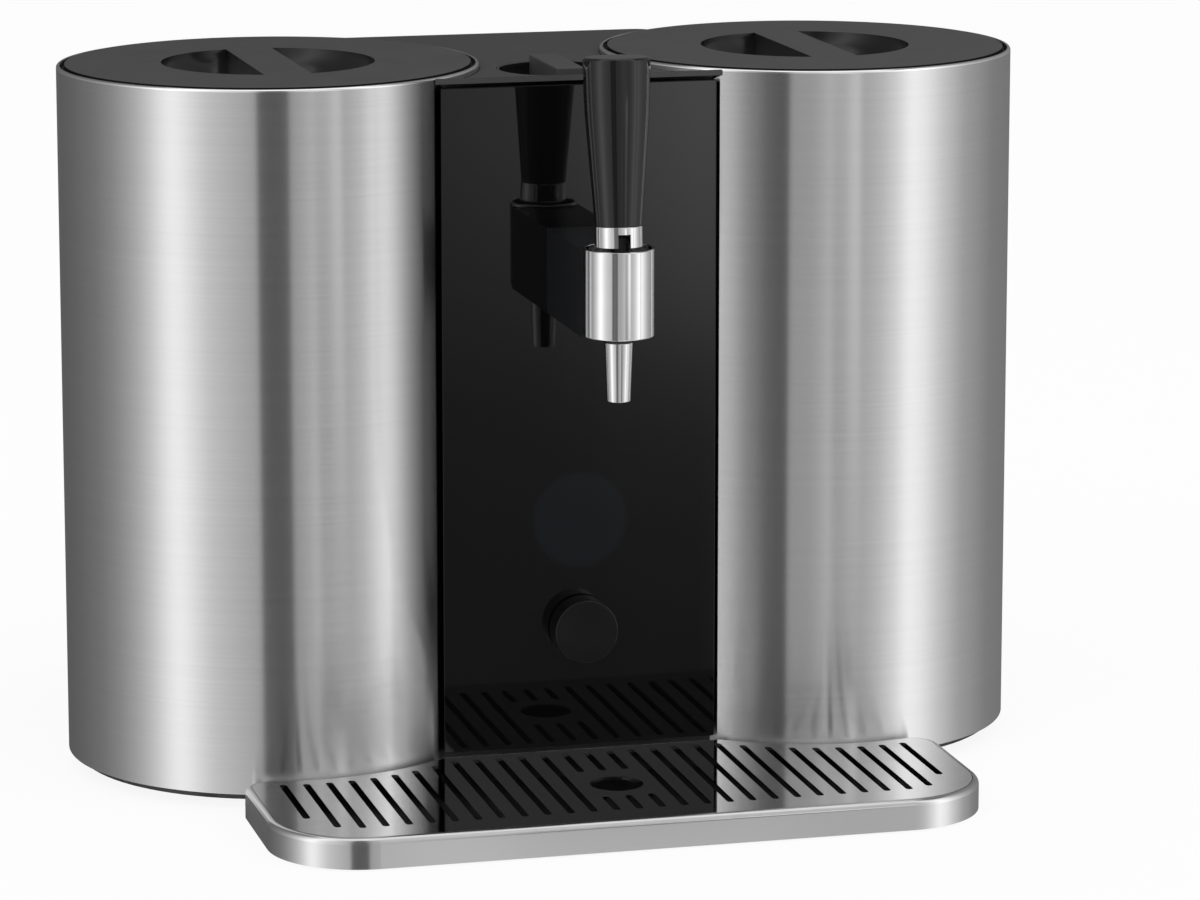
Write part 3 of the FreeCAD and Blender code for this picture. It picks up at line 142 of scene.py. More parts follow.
# %% Sky and floor
sky_light = 0.85
floor_grey = 0.9
floor_glow = 0.9
floor_half = 15

world = bpy.data.worlds.new("studio")
bpy.context.scene.world = world
world.use_nodes = True
tree = world.node_tree
tree.nodes.clear()
shown = node(tree, "Background", {"Color": (1, 1, 1, 1), "Strength": 1.0})
scattered = node(tree, "Background", {"Color": (1, 1, 1, 1), "Strength": sky_light})
mixed = node(tree, "MixShader", {0: seen_directly(tree), 1: scattered.outputs[0], 2: shown.outputs[0]})
node(tree, "OutputWorld", {"Surface": mixed.outputs[0]})

floor_finish = bpy.data.materials.new("studio floor")
floor_finish.use_nodes = True
tree = floor_finish.node_tree
tree.nodes.clear()
matt = node(tree, "BsdfDiffuse", {"Color": (floor_grey, floor_grey, floor_grey, 1)})
glow = node(tree, "Emission", {"Color": (1, 1, 1, 1), "Strength": 1.0})
share = calc(tree, "MULTIPLY", seen_directly(tree), floor_glow)
mixed = node(tree, "MixShader", {0: share, 1: matt.outputs[0], 2: glow.outputs[0]})
node(tree, "OutputMaterial", {"Surface": mixed.outputs[0]})

sheet = bmesh.new()
bmesh.ops.create_grid(sheet, x_segments=1, y_segments=1, size=floor_half)
floor_mesh = bpy.data.meshes.new("studio_floor")
sheet.to_mesh(floor_mesh)
sheet.free()
floor_mesh.materials.append(floor_finish)
floor = bpy.data.objects.new("studio_floor", floor_mesh)
bpy.context.scene.collection.objects.link(floor)
floor.visible_glossy = False
print("floor and sky are ready")

# %% [markdown]
# ## A light tent for the metal
# Steel and chrome show what stands round them. A photographer puts them in a tent, with a long soft box on
# each side. Here the tent is one turned wall that only reflections see, and its brightness depends on the
# direction alone. It goes on below the floor, which reflections look through, as on a glass table: so the
# stripes run down the drums to their feet, as they do in the photograph.

# %% Brightness of the tent by direction
tent_radius = 1.15
tent_top = 2.2
tent_foot = -1.0
tent_steps = 96
tent_stops = [(-180, 0.12), (-140, 0.13), (-118, 0.18), (-98, 0.26), (-85.5, 0.38), (-77.5, 0.52),
              (-70.5, 0.68), (-63.5, 0.93), (-56.5, 1.27), (-51.5, 1.42), (-47.5, 1.32), (-40.5, 1.04),
              (-34, 0.83), (-26, 0.71), (-19, 0.62), (-10, 0.52), (2, 0.46), (9, 0.47), (16, 0.58),
              (23, 0.77), (31, 0.69), (37, 0.56), (47, 0.72), (56, 1.08), (63, 1.45), (71, 1.32),
              (80, 0.96), (96, 0.54), (120, 0.31), (180, 0.12)]
print("the tent has", len(tent_stops), "steps of grey")

# %% A lamp that reads its own direction and height
tent_lamp = bpy.data.materials.new("tent wall")
tent_lamp.use_nodes = True
tent_lamp.cycles.emission_sampling = "NONE"
tree = tent_lamp.node_tree
tree.nodes.clear()
place = node(tree, "TexCoord").outputs["Object"]
facing = node(tree, "Mapping", {"Vector": place, "Rotation": (0, 0, camera_turn)})
parts = node(tree, "SeparateXYZ", {0: facing.outputs[0]})
ahead = calc(tree, "MULTIPLY", parts.outputs["Y"], -1.0)
turn = calc(tree, "ARCTAN2", parts.outputs["X"], ahead)
around = calc(tree, "ADD", calc(tree, "MULTIPLY", turn, 1 / math.tau), 0.5)
height = node(tree, "MapRange", {"Value": parts.outputs["Z"], "From Min": tent_foot, "From Max": tent_top})


def by_direction(stops, most=1.0):
    """Grey by degrees from the camera's side, for values up to most."""
    grey = ramp(tree, around, [(angle / 360 + 0.5, value / most) for angle, value in stops])
    return calc(tree, "MULTIPLY", grey, most)


def by_height(stops, most=1.0):
    """Grey by metres above the floor."""
    span = tent_top - tent_foot
    grey = ramp(tree, height.outputs[0], [((up - tent_foot) / span, value / most) for up, value in stops])
    return calc(tree, "MULTIPLY", grey, most)


# %% [markdown]
# The black glass is a mirror for one narrow window of the tent. In the photograph it darkens downwards and
# glows towards its upper right. So the tent is dimmer in that window, with a glow, and a little brighter
# above and below it. The drums smear the tent up and down, so they only notice the average.

# %% The window that the glass looks at
wall_light = by_direction(tent_stops, most=1.5)
window = by_direction([(19, 0), (22, 1), (33, 1), (36, 0)])
dimming = by_height([(-0.36, 1.6), (-0.27, 0.21), (-0.10, 0.24), (-0.01, 0.30), (0.05, 0.42), (0.11, 0.54),
                     (0.19, 0.73), (0.25, 0.80), (0.30, 0.92), (0.7, 1.0)], most=1.6)
kept = calc(tree, "ADD", calc(tree, "MULTIPLY", window, calc(tree, "SUBTRACT", dimming, 1.0)), 1.0)
glow_across = by_direction([(22.9, 0), (24.9, 0.10), (26, 0.12), (27.1, 0.25), (28.2, 0.38), (29.5, 0.68),
                            (30.8, 0.82), (32.2, 1), (33.5, 1), (36, 0)])
glow_up = by_height([(-0.27, 0), (-0.11, 0.075), (-0.04, 0.145), (0.02, 0.32), (0.05, 0.50), (0.08, 0.67),
                     (0.11, 0.80), (0.165, 0.94), (0.22, 1.05), (0.25, 1.05), (0.30, 0)], most=1.1)
glow = calc(tree, "MULTIPLY", glow_across, glow_up)
light = calc(tree, "ADD", calc(tree, "MULTIPLY", wall_light, kept), glow)
lamp = node(tree, "Emission", {"Color": (1, 1, 1, 1), "Strength": light})
node(tree, "OutputMaterial", {"Surface": lamp.outputs[0]})
print("the wall's brightness has", len(tree.nodes), "nodes")


# %% A helper for things that only reflections see
def for_reflections_only(thing):
    thing.visible_camera = False
    thing.visible_diffuse = False
    thing.visible_shadow = False
    thing.visible_transmission = False
    bpy.context.scene.collection.objects.link(thing)


# %% The tent's wall
tent = bmesh.new()
ends = [tent.verts.new((tent_radius, 0, height)) for height in (tent_foot, tent_top)]
upright = tent.edges.new(ends)
bmesh.ops.spin(tent, geom=ends + [upright], cent=(0, 0, 0), axis=(0, 0, 1), dvec=(0, 0, 0),
               angle=math.tau, steps=tent_steps, use_merge=True)
tent_mesh = bpy.data.meshes.new("light_tent")
tent.to_mesh(tent_mesh)
tent.free()
tent_mesh.materials.append(tent_lamp)
tent_object = bpy.data.objects.new("light_tent", tent_mesh)
for_reflections_only(tent_object)
print("the tent is", 2 * tent_radius, "m across")

# %% [markdown]
# ## Cards
# Polished cylinders need dark cards as much as light. A narrow board in front puts the dark stripe on both
# drums, the cup and the tray's corner. Two flags shade the flanks beside the glass, each for the drum on its
# far side, one at the seam keeps the drums from mirroring each other, and a level one keeps the tray's image
# in the glass dark. Two light cards stand between the tap and the drums, because the photograph's drums don't
# mirror the tap. Their feet are raised beside the tap, so that the tray's plate hardly mirrors them. A card
# has a reach, the lengths of the rays that it stops, so that it serves the piece it stands for and no nearer
# or farther one.

# %% A card on a stand
def studio_card(name, low, high, shades, reach, one_sided=False, raised=(0.0, 0.0)):
    """A card between two corners, with grey stops along Y. An upright one faces right of the way it runs
    from the first corner to the second, and a level one faces down. The foot of an upright card can be
    raised at its first and its second end."""
    run = Vector(high) - Vector(low)
    card = bmesh.new()
    bmesh.ops.create_grid(card, x_segments=1, y_segments=1, size=0.5)
    if run.z:
        bmesh.ops.scale(card, verts=card.verts, vec=(run.xy.length, run.z, 1))
        upright = Matrix.Rotation(math.pi / 2, 3, "X")
        heading = Matrix.Rotation(math.atan2(run.y, run.x), 3, "Z")
        bmesh.ops.rotate(card, verts=card.verts, cent=(0, 0, 0), matrix=upright)
        bmesh.ops.rotate(card, verts=card.verts, cent=(0, 0, 0), matrix=heading)
    else:
        bmesh.ops.scale(card, verts=card.verts, vec=(run.x, run.y, 1))
        bmesh.ops.reverse_faces(card, faces=card.faces)
    bmesh.ops.translate(card, verts=card.verts, vec=(Vector(high) + Vector(low)) / 2)
    for corner, lift in zip((low, high), raised):
        foot = min(card.verts, key=lambda vert: (vert.co - Vector((corner[0], corner[1], low[2]))).length)
        foot.co.z += lift
    mesh = bpy.data.meshes.new(name)
    card.to_mesh(mesh)
    card.free()
    paint = bpy.data.materials.new(name)
    paint.use_nodes = True
    paint.cycles.emission_sampling = "NONE"
    tree = paint.node_tree
    tree.nodes.clear()
    along = node(tree, "SeparateXYZ", {0: node(tree, "TexCoord").outputs["Object"]}).outputs["Y"]
    never_zero = 1e-6
    share = node(tree, "MapRange", {"Value": along, "From Min": low[1], "From Max": high[1] + never_zero})
    most = max([1.0] + [value for back, value in shades])
    stops = [((back - low[1]) / (run.y + never_zero), value / most) for back, value in shades]
    grey = ramp(tree, share.outputs[0], stops)
    length = node(tree, "LightPath").outputs["Ray Length"]
    near_enough = calc(tree, "LESS_THAN", length, reach[1])
    stopped = calc(tree, "MULTIPLY", calc(tree, "GREATER_THAN", length, reach[0]), near_enough)
    if one_sided:
        behind = node(tree, "NewGeometry").outputs["Backfacing"]
        stopped = calc(tree, "MULTIPLY", stopped, calc(tree, "SUBTRACT", 1.0, behind))
    air = node(tree, "BsdfTransparent")
    shown = node(tree, "Emission", {"Color": grey, "Strength": most})
    mixed = node(tree, "MixShader", {0: stopped, 1: air.outputs[0], 2: shown.outputs[0]})
    node(tree, "OutputMaterial", {"Surface": mixed.outputs[0]})
    mesh.materials.append(paint)
    for_reflections_only(bpy.data.objects.new(name, mesh))
    print(name, "runs", [round(length, 2) for length in run], "m")


# %% The cards
far = 9.0
studio_card("front_board", (-0.35, -0.67, -1.0), (-0.155, -0.67, 1.3), [(-0.67, 0.13)], (0.0, far))
studio_card("right_flag", (0.45, -0.46, -0.4), (0.45, -0.04, 1.0),
            [(-0.46, 1.0), (-0.41, 1.0), (-0.36, 0.80), (-0.30, 0.52), (-0.18, 0.17), (-0.07, 0.03)],
            (0.5, far))
studio_card("middle_flag", (-0.08, -0.41, -0.6), (-0.08, -0.15, 0.9),
            [(-0.41, 0.14), (-0.39, 0.14), (-0.32, 0.18), (-0.266, 0.29), (-0.227, 0.40), (-0.191, 0.59),
             (-0.163, 0.76)], (0.15, far), one_sided=True)
studio_card("seam_card", (0.078, -0.076, -0.1), (0.02, -0.1018, 0.42),
            [(-0.076, 0.01), (-0.0818, 0.01), (-0.0867, 0.06), (-0.0926, 0.10), (-0.1018, 0.11)],
            (0.08, 0.16), one_sided=True)
studio_card("low_card", (-0.04, -0.36, 0.05), (0.17, -0.20, 0.05), [(-0.36, 0.11)], (0.115, 0.155),
            one_sided=True)
studio_card("left_light_card", (-0.0685, -0.0882, 0.07), (-0.028, -0.175, 0.60),
            [(-0.0882, 0.124), (-0.0945, 0.27), (-0.103, 0.46), (-0.1115, 0.67), (-0.124, 0.93),
             (-0.136, 1.06), (-0.150, 1.09), (-0.175, 0.93)],
            (0.008, 0.118), one_sided=True, raised=(0.0, 0.1))
studio_card("right_light_card", (0.035, -0.152, 0.07), (0.035, -0.0965, 0.60),
            [(-0.152, 0.28), (-0.141, 0.32), (-0.133, 0.38), (-0.125, 0.46), (-0.1155, 0.59), (-0.108, 0.69),
             (-0.100, 0.77), (-0.0965, 0.785)], (0.03, 0.10), one_sided=True, raised=(0.08, 0.0))

# %% [markdown]
# ## Soft lamps
# Two broad lamps above give the plastic lids a gentle direction without hard shadows.

# %% Two area lamps
def soft_lamp(name, place, target, size, watts):
    data = bpy.data.lights.new(name, "AREA")
    data.shape = "RECTANGLE"
    data.size, data.size_y = size
    data.energy = watts
    lamp = bpy.data.objects.new(name, data)
    lamp.location = place
    lamp.rotation_euler = (Vector(target) - Vector(place)).to_track_quat("-Z", "Y").to_euler()
    lamp.visible_glossy = False
    bpy.context.scene.collection.objects.link(lamp)
    return lamp


machine_middle = (0, 0, 0.2)
soft_lamp("left lamp", (-1.6, -1.0, 2.0), machine_middle, (1.2, 1.2), 9)
soft_lamp("right lamp", (1.7, -0.6, 1.9), machine_middle, (1.2, 1.2), 9)

# %% [markdown]
# ## Finishes
# Every finish is a network on the piece's own Object coordinates, in metres, so its grain keeps one
# scale on all pieces. A Noise squeezed along one axis turns into brush lines.

# %% Start of a finish
def new_finish(name, **sockets):
    material = bpy.data.materials.new(name)
    material.use_nodes = True
    tree = material.node_tree
    shader = tree.nodes["Principled BSDF"]
    for key, value in sockets.items():
        shader.inputs[key.replace("_", " ").title().replace("Ior", "IOR")].default_value = value
    return material, tree, shader


def spots(tree, squeeze, detail=2.0, rough=0.5):
    """Noise on Object coordinates, squeezed by a factor along each axis."""
    place = node(tree, "TexCoord").outputs["Object"]
    fitted = node(tree, "Mapping", {"Vector": place, "Scale": squeeze})
    made = node(tree, "TexNoise", {"Vector": fitted.outputs[0], "Scale": 1.0, "Detail": detail,
                                   "Roughness": rough})
    return made.outputs["Fac"]


def between(tree, fac, low, high, start=0.3, end=0.7):
    """A number that runs from low to high as the noise goes from start to end."""
    made = node(tree, "MapRange", {"Value": fac, "From Min": start, "From Max": end, "To Min": low,
                                   "To Max": high})
    return made.outputs[0]


def tinted(tree, shader, fac, low, high, start=0.3, end=0.7):
    """Colour that wanders between two shades."""
    share = between(tree, fac, 0.0, 1.0, start, end)
    made = node(tree, "Mix", {0: share, 6: (*low, 1), 7: (*high, 1)}, data_type="RGBA")
    tree.links.new(made.outputs[2], shader.inputs["Base Color"])
    return made.outputs[2]


def roughened(tree, shader, fac, low, high):
    tree.links.new(between(tree, fac, low, high), shader.inputs["Roughness"])


def bumped(tree, shader, fac, height, strength=1.0):
    """A relief of the given height in metres."""
    made = node(tree, "Bump", {"Height": fac, "Distance": height, "Strength": strength})
    tree.links.new(made.outputs[0], shader.inputs["Normal"])


# %% [markdown]
# ### Brushed steel
# The drums are brushed round and round, so each scratch lies level. Across level scratches light
# smears up and down but stays crisp sideways: that is an anisotropic shader whose tangent stands up.

# %% Brushed steel
def brushed_steel(name, shade, rough, line=1400.0, strength=1.0):
    material, tree, shader = new_finish(name, metallic=1.0, anisotropic=1.0)
    fine = spots(tree, (5.0, 5.0, line), 3.0, 0.6)
    broad = spots(tree, (1.5, 1.5, line / 6), 2.0)
    both = calc(tree, "ADD", calc(tree, "MULTIPLY", fine, 0.65), calc(tree, "MULTIPLY", broad, 0.35))
    spread = 0.03 * strength
    tinted(tree, shader, both, (shade * (1 - spread),) * 3, (shade * (1 + spread),) * 3)
    roughened(tree, shader, fine, rough - spread / 2, rough + spread / 2)
    bumped(tree, shader, fine, 0.0000015 * strength)
    upright = node(tree, "CombineXYZ", {0: 0.0, 1: 0.0, 2: 1.0})
    tree.links.new(upright.outputs[0], shader.inputs["Tangent"])
    return material


drum_steel = brushed_steel("drum steel", 0.62, 0.24)
band_steel = brushed_steel("tray band steel", 0.64, 0.24, 1800.0, 0.4)
print("made", drum_steel.name, "and", band_steel.name)

# %% [markdown]
# ### Polished steel, chrome and plain steel
# The tray's plate is polished flat and mirrors the drums. Chrome is smoother still. A faint
# variation in roughness keeps both from looking like a formula.

# %% Bright metals
def bright_metal(name, shade, rough, spread=0.02, grain=60.0):
    material, tree, shader = new_finish(name, metallic=1.0)
    cloud = spots(tree, (grain, grain, grain), 3.0)
    tinted(tree, shader, cloud, (shade * 0.97,) * 3, (shade * 1.02,) * 3)
    roughened(tree, shader, cloud, rough, rough + spread)
    return material


plate_steel = bright_metal("tray plate steel", 0.88, 0.045, 0.02)
# Brighter than the drums' steel: a polished rim with a painted highlight.
rim_steel_painted_highlight = bright_metal("rim steel painted highlight", 0.95, 0.14, 0.03)
lip_steel = bright_metal("tray lip steel", 0.72, 0.16, 0.04)
chrome = bright_metal("chrome", 0.75, 0.085, 0.02)
plain_steel = bright_metal("plain steel", 0.50, 0.30, 0.10)
keg_steel = bright_metal("keg steel", 0.60, 0.24, 0.08)
aluminium = bright_metal("aluminium", 0.72, 0.34, 0.10)
print("bright metals ready")

# %% [markdown]
# ### Moulded plastics and rubber
# Moulded parts have a fine spark-eroded grain. Two noises are enough: one for the grain that bends the
# light, and one that lets the gloss wander a little.

# %% Plastics
def plastic(name, shade, rough, grain=2600.0, relief=0.00002, tint=(1.0, 1.0, 1.0), spread=0.06, **more):
    material, tree, shader = new_finish(name, ior=1.48, **more)
    cloud = spots(tree, (45.0, 45.0, 45.0), 3.0)
    colour = [shade * part for part in tint]
    tinted(tree, shader, cloud, [part * 0.94 for part in colour], [part * 1.06 for part in colour])
    roughened(tree, shader, cloud, rough, rough + spread)
    if relief:
        bumped(tree, shader, spots(tree, (grain,) * 3, 1.0), relief)
    return material


lid_plastic = plastic("lid plastic", 0.052, 0.46)
# Glossier and darker than the lid plastic: partly a gloss finish, partly painted shade of the bowls' and the
# hatch dish's recess.
bowl_gloss_painted_shade = plastic("bowl gloss painted shade", 0.008, 0.17, relief=0.000004)
deck_plastic = plastic("deck plastic", 0.042, 0.42)
arm_plastic = plastic("tap arm plastic", 0.009, 0.30, relief=0, tint=(0.94, 1.0, 1.18))
# Near-black and hardly shiny: on the glass's bevelled edges, and on the lids' groove walls as painted shade
# of the gap.
near_black_edge_and_groove_shade = plastic("near-black glass edge and groove shade", 0.003, 0.5, relief=0, specular_ior_level=0.2)
dark_plastic = plastic("dark plastic", 0.030, 0.45)
gloss_plastic = plastic("gloss black plastic", 0.006, 0.05, relief=0, spread=0.02)
knob_plastic = plastic("knob plastic", 0.003, 0.20, relief=0, specular_ior_level=0.3)
well_plastic = plastic("well plastic", 0.52, 0.35, relief=0)
# A darker copy of the dark plastic for the drip pan seen through the slots: painted shade under the plate.
pan_painted_shade = plastic("drip pan painted shade", 0.006, 0.45)
rubber = plastic("rubber", 0.018, 0.62, 1500.0, 0.00004)
silicone = plastic("silicone", 0.62, 0.48, relief=0, tint=(1.0, 1.0, 0.97))
foam = plastic("foam", 0.75, 0.85, 500.0, 0.0004, tint=(1.0, 1.0, 0.97))
screen_plastic = plastic("screen", 0.010, 0.15, relief=0)
enamel = plastic("black enamel", 0.012, 0.28, 900.0, 0.00002)
board_green = plastic("circuit board", 0.10, 0.35, relief=0, tint=(0.18, 1.0, 0.5))
shell_plastic = plastic("capsule shell", 0.62, 0.35, relief=0, tint=(1.0, 0.96, 0.85))
clear_plastic = plastic("clear plastic", 0.78, 0.12, relief=0, tint=(0.95, 0.99, 1.0),
                        transmission_weight=0.85)
print("plastics ready")

# %% [markdown]
# ### Black glass
# The front is glass with black print behind it, and a round screen sleeps behind the print. It shows as a
# disc that is very slightly bluer and lighter than the print, with a soft edge.

# %% Black glass
screen_height = 0.139
screen_radius = 0.0236
print_edge = 0.0266
glass_finish, tree, shader = new_finish("black glass", ior=1.46, roughness=0.02)
place = node(tree, "TexCoord").outputs["Object"]
centred = node(tree, "VectorMath", {0: place, 1: (0, 0, screen_height)}, operation="SUBTRACT")
flat = node(tree, "VectorMath", {0: centred.outputs[0], 1: (1, 0, 1)}, operation="MULTIPLY")
reach = node(tree, "VectorMath", {0: flat.outputs[0]}, operation="LENGTH").outputs["Value"]
disc = node(tree, "MapRange", {"Value": reach, "From Min": screen_radius, "From Max": print_edge,
                               "To Min": 1.0, "To Max": 0.0})
shade = node(tree, "Mix", {0: disc.outputs[0], 6: (0.0026, 0.0026, 0.0027, 1),
                           7: (0.0050, 0.0060, 0.0078, 1)}, data_type="RGBA")
tree.links.new(shade.outputs[2], shader.inputs["Base Color"])
print("glass ready")

# %% [markdown]
# ## Drawing and turning
# Most pieces of this machine are turned: one outline goes round an axis. An outline is a wire of points,
# and a `Turn` step swings its last point round a centre, so that an arc is made by Blender's spin itself.

# %% Outlines
class Turn:
    def __init__(self, across, up, degrees, pieces=0):
        self.centre = (across, up)
        self.degrees = degrees
        self.pieces = pieces or max(3, int(abs(degrees) / 5))


def wire(shape, steps, closed=True, upright=True):
    """Adds a wire to a bmesh; upright wires lie in XZ and the others in XY."""
    def lift(across, up):
        return Vector((across, 0, up)) if upright else Vector((across, up, 0))

    axis = (0, -1, 0) if upright else (0, 0, 1)
    made = []
    rounds = []
    edges = []
    for step in steps:
        if isinstance(step, Turn):
            before = set(shape.edges)
            swung = bmesh.ops.spin(shape, geom=[made[-1]], cent=lift(*step.centre), axis=axis,
                                   dvec=(0, 0, 0), angle=math.radians(step.degrees),
                                   steps=step.pieces, use_merge=False)
            edges.extend(edge for edge in shape.edges if edge not in before)
            made.append(swung["geom_last"][0])
            continue
        vert = shape.verts.new(lift(step[0], step[1]))
        if made:
            edges.append(shape.edges.new((made[-1], vert)))
        made.append(vert)
        if len(step) == 3:
            rounds.append((vert, step[2]))
    if closed:
        edges.append(shape.edges.new((made[-1], made[0])))
    for vert, size in rounds:
        before = set(shape.edges)
        bmesh.ops.bevel(shape, geom=[vert], offset=size, offset_type="OFFSET", segments=4, profile=0.5,
                        affect="VERTICES", material=-1)
        edges = [edge for edge in edges if edge.is_valid]
        edges.extend(edge for edge in shape.edges if edge not in before)
    bmesh.ops.remove_doubles(shape, verts=shape.verts, dist=1e-5)
    return [edge for edge in edges if edge.is_valid]


def turned(steps, closed=True, segments=128, degrees=360.0):
    """Turns an outline of (radius, height) round the Z axis."""
    shape = bmesh.new()
    wire(shape, steps, closed)
    bmesh.ops.spin(shape, geom=shape.verts[:] + shape.edges[:], cent=(0, 0, 0), axis=(0, 0, 1),
                   dvec=(0, 0, 0), angle=math.radians(degrees), steps=segments,
                   use_merge=degrees == 360.0)
    bmesh.ops.remove_doubles(shape, verts=shape.verts, dist=1e-4)
    bmesh.ops.dissolve_degenerate(shape, edges=shape.edges, dist=1e-5)
    bmesh.ops.recalc_face_normals(shape, faces=shape.faces)
    return shape


def plate(outline, holes, low, high, upright=False):
    """A flat plate with holes: its wires are filled, then pulled to their thickness along Z, or along Y."""
    shape = bmesh.new()
    for steps in [outline] + holes:
        wire(shape, steps, True, upright)
    bmesh.ops.triangle_fill(shape, use_beauty=True, use_dissolve=False, edges=shape.edges[:])
    along = Vector((0, 1, 0)) if upright else Vector((0, 0, 1))
    bmesh.ops.translate(shape, verts=shape.verts, vec=along * low)
    grown = bmesh.ops.extrude_face_region(shape, geom=shape.faces[:], use_keep_orig=True)
    far = [part for part in grown["geom"] if isinstance(part, bmesh.types.BMVert)]
    bmesh.ops.translate(shape, verts=far, vec=along * (high - low))
    bmesh.ops.recalc_face_normals(shape, faces=shape.faces)
    return shape


def eased(shape, width, chosen=None, segments=2, least=30.0):
    """Rounds the sharp edges, or those that the test picks."""
    picked = []
    for edge in shape.edges:
        if len(edge.link_faces) == 2 and edge.calc_face_angle() > math.radians(least):
            if chosen is None or chosen(edge):
                picked.append(edge)
    bmesh.ops.bevel(shape, geom=picked, offset=width, offset_type="OFFSET", segments=segments, profile=0.5,
                    affect="EDGES", material=-1, clamp_overlap=True)
    return len(picked)


# %% [markdown]
# ## Handing a piece over
# A finished shape is scaled to metres with its place in its mesh, gets smooth shading that respects its
# edges, and is told which body it rides on and which CAD nodes it stands for.

# %% A helper that hands over a piece
def hand_over(name, shape, body, replaced, finish, sharp=38.0):
    shape.transform(Matrix.Scale(METRE, 4) @ Matrix.Translation((0, drum_line, 0)))
    mesh = bpy.data.meshes.new(name)
    shape.to_mesh(mesh)
    shape.free()
    for one in finish if isinstance(finish, (list, tuple)) else [finish]:
        mesh.materials.append(one)
    mesh.shade_smooth()
    mesh.set_sharp_from_angle(angle=math.radians(sharp))
    piece = bpy.data.objects.new(name, mesh)
    bpy.context.scene.collection.objects.link(piece)
    even = piece.modifiers.new("even shading", "WEIGHTED_NORMAL")
    even.keep_sharp = True
    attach(piece, body)
    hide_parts(*replaced)
    print(name, "has", len(mesh.polygons), "faces")
    return piece


def moved(shape, across=0.0, back=0.0, up=0.0):
    bmesh.ops.translate(shape, verts=shape.verts, vec=(across, back, up))
    return shape


def quarter_turn(shape, axis):
    quarter = Matrix.Rotation(math.pi / 2, 3, axis)
    bmesh.ops.rotate(shape, verts=shape.verts, cent=(0, 0, 0), matrix=quarter)
    return shape


def leaned(shape):
    """Leans a piece of the lever back about its pivot."""
    back = Matrix.Rotation(-lever_lean, 3, "X")
    bmesh.ops.rotate(shape, verts=shape.verts, cent=lever_pivot, matrix=back)
    return shape


def cut_along(shape, *planes):
    """Cuts edges into a shape along planes, each a point and a direction, and keeps both sides."""
    for point, across in planes:
        bmesh.ops.bisect_plane(shape, geom=shape.verts[:] + shape.edges[:] + shape.faces[:], dist=1e-4,
                               plane_co=point, plane_no=across)


# %% [markdown]
# ## Steel drums
# Each drum is one rolled sheet with its top edge rolled inwards, which catches a bright line of light;
# the rim's steel is also brighter than the drum's, as a painted highlight.
# The outline has the sheet's thickness, the rolled rim and a plain foot.

# %% Drums
rim_top = drum_top - 0.6
rim_round = 1.4
rim_low = drum_top - 6
rim_inside = drum_radius - 1.9
sheet_inside = drum_radius - 1.2
both_sides = ((-1, "left"), (1, "right"))
for side, word in both_sides:
    drum = turned([(sheet_inside, drum_bottom), (drum_radius, drum_bottom, 0.4),
                   (drum_radius, rim_top, rim_round), (rim_inside, rim_top, 0.4), (rim_inside, rim_low),
                   (sheet_inside, rim_low)], segments=180)
    # The rolled rim takes the smoother, brighter steel: polished, and brighter as a painted highlight.
    for face in drum.faces:
        face.material_index = 1 if face.calc_center_median().z > rim_top - rim_round - 0.01 else 0
    hand_over(word + "_drum", moved(drum, side * drum_x), "chassis", [word + "_drum_sleeve"],
              [drum_steel, rim_steel_painted_highlight])

# %% [markdown]
# ## Lids
# A lid is a flat dark disc with a round bowl pressed into it, and a flat bar left standing across the bowl
# to grip. The bowl is steep at its edge and flat at its floor, and it is turned with the disc. Then two
# planes cut it along the bar, the strip between them goes, the cut edges are pulled up as the bar's walls,
# and a flat top closes it. The bowl and the bar's walls are a glossier black than the disc, and darker as
# painted shade of the recess. The disc stands in a groove inside the drum's rim, whose walls are painted
# near-black as the shade in the gap.

# %% Lids
bowl_radius = 56.0
bowl_depth = 24.0
grip_half = 12.4
groove = 0.9


def bowl_curve(more=0.0, lowest=90.0):
    """Points of the bowl from its middle outwards, or of its underside, which is further out by its wall."""
    points = []
    for step in range(17):
        swing = math.radians(lowest * step / 16)
        out = (bowl_radius + more) * math.sin(swing)
        points.append((out, drum_top - (bowl_depth + more) * math.cos(swing)))
    return points


def gripped_lid():
    wall = 3.0
    rest = 358.6
    groove_low = drum_top - 2.0
    under_swing = math.degrees(math.acos(wall / (bowl_depth + wall)))
    steps = bowl_curve() + [(lid_radius - groove, drum_top, 0.25), (lid_radius - groove, groove_low),
                            (lid_radius, groove_low), (lid_radius, rest), (lid_radius - wall, rest),
                            (lid_radius - wall, drum_top - wall)] + bowl_curve(wall, under_swing)[::-1]
    lid = turned(steps, closed=False, segments=160)

    def in_bowl(face):
        middle = face.calc_center_median()
        return middle.xy.length < bowl_radius and face.normal.z > 0

    for x in (-grip_half, grip_half):
        near = [face for face in lid.faces if in_bowl(face)]
        parts = set(near)
        for face in near:
            parts.update(face.edges)
            parts.update(face.verts)
        bmesh.ops.bisect_plane(lid, geom=list(parts), dist=1e-4, plane_co=(x, 0, 0), plane_no=(1, 0, 0))
    strip = [face for face in lid.faces if in_bowl(face) and abs(face.calc_center_median().x) < grip_half]
    bmesh.ops.delete(lid, geom=strip, context="FACES")
    walls = []
    for edge in lid.edges:
        ends = [vert.co for vert in edge.verts]
        if edge.is_boundary and all(abs(abs(end.x) - grip_half) < 1e-3 for end in ends):
            walls.append(edge)
    raised = bmesh.ops.extrude_edge_only(lid, edges=walls)
    for part in raised["geom"]:
        if isinstance(part, bmesh.types.BMVert):
            part.co.z = drum_top
    bmesh.ops.remove_doubles(lid, verts=lid.verts, dist=1e-3)
    bmesh.ops.dissolve_degenerate(lid, edges=lid.edges, dist=1e-4)
    bmesh.ops.holes_fill(lid, edges=[edge for edge in lid.edges if edge.is_boundary], sides=0)
    bmesh.ops.recalc_face_normals(lid, faces=lid.faces)
    return lid


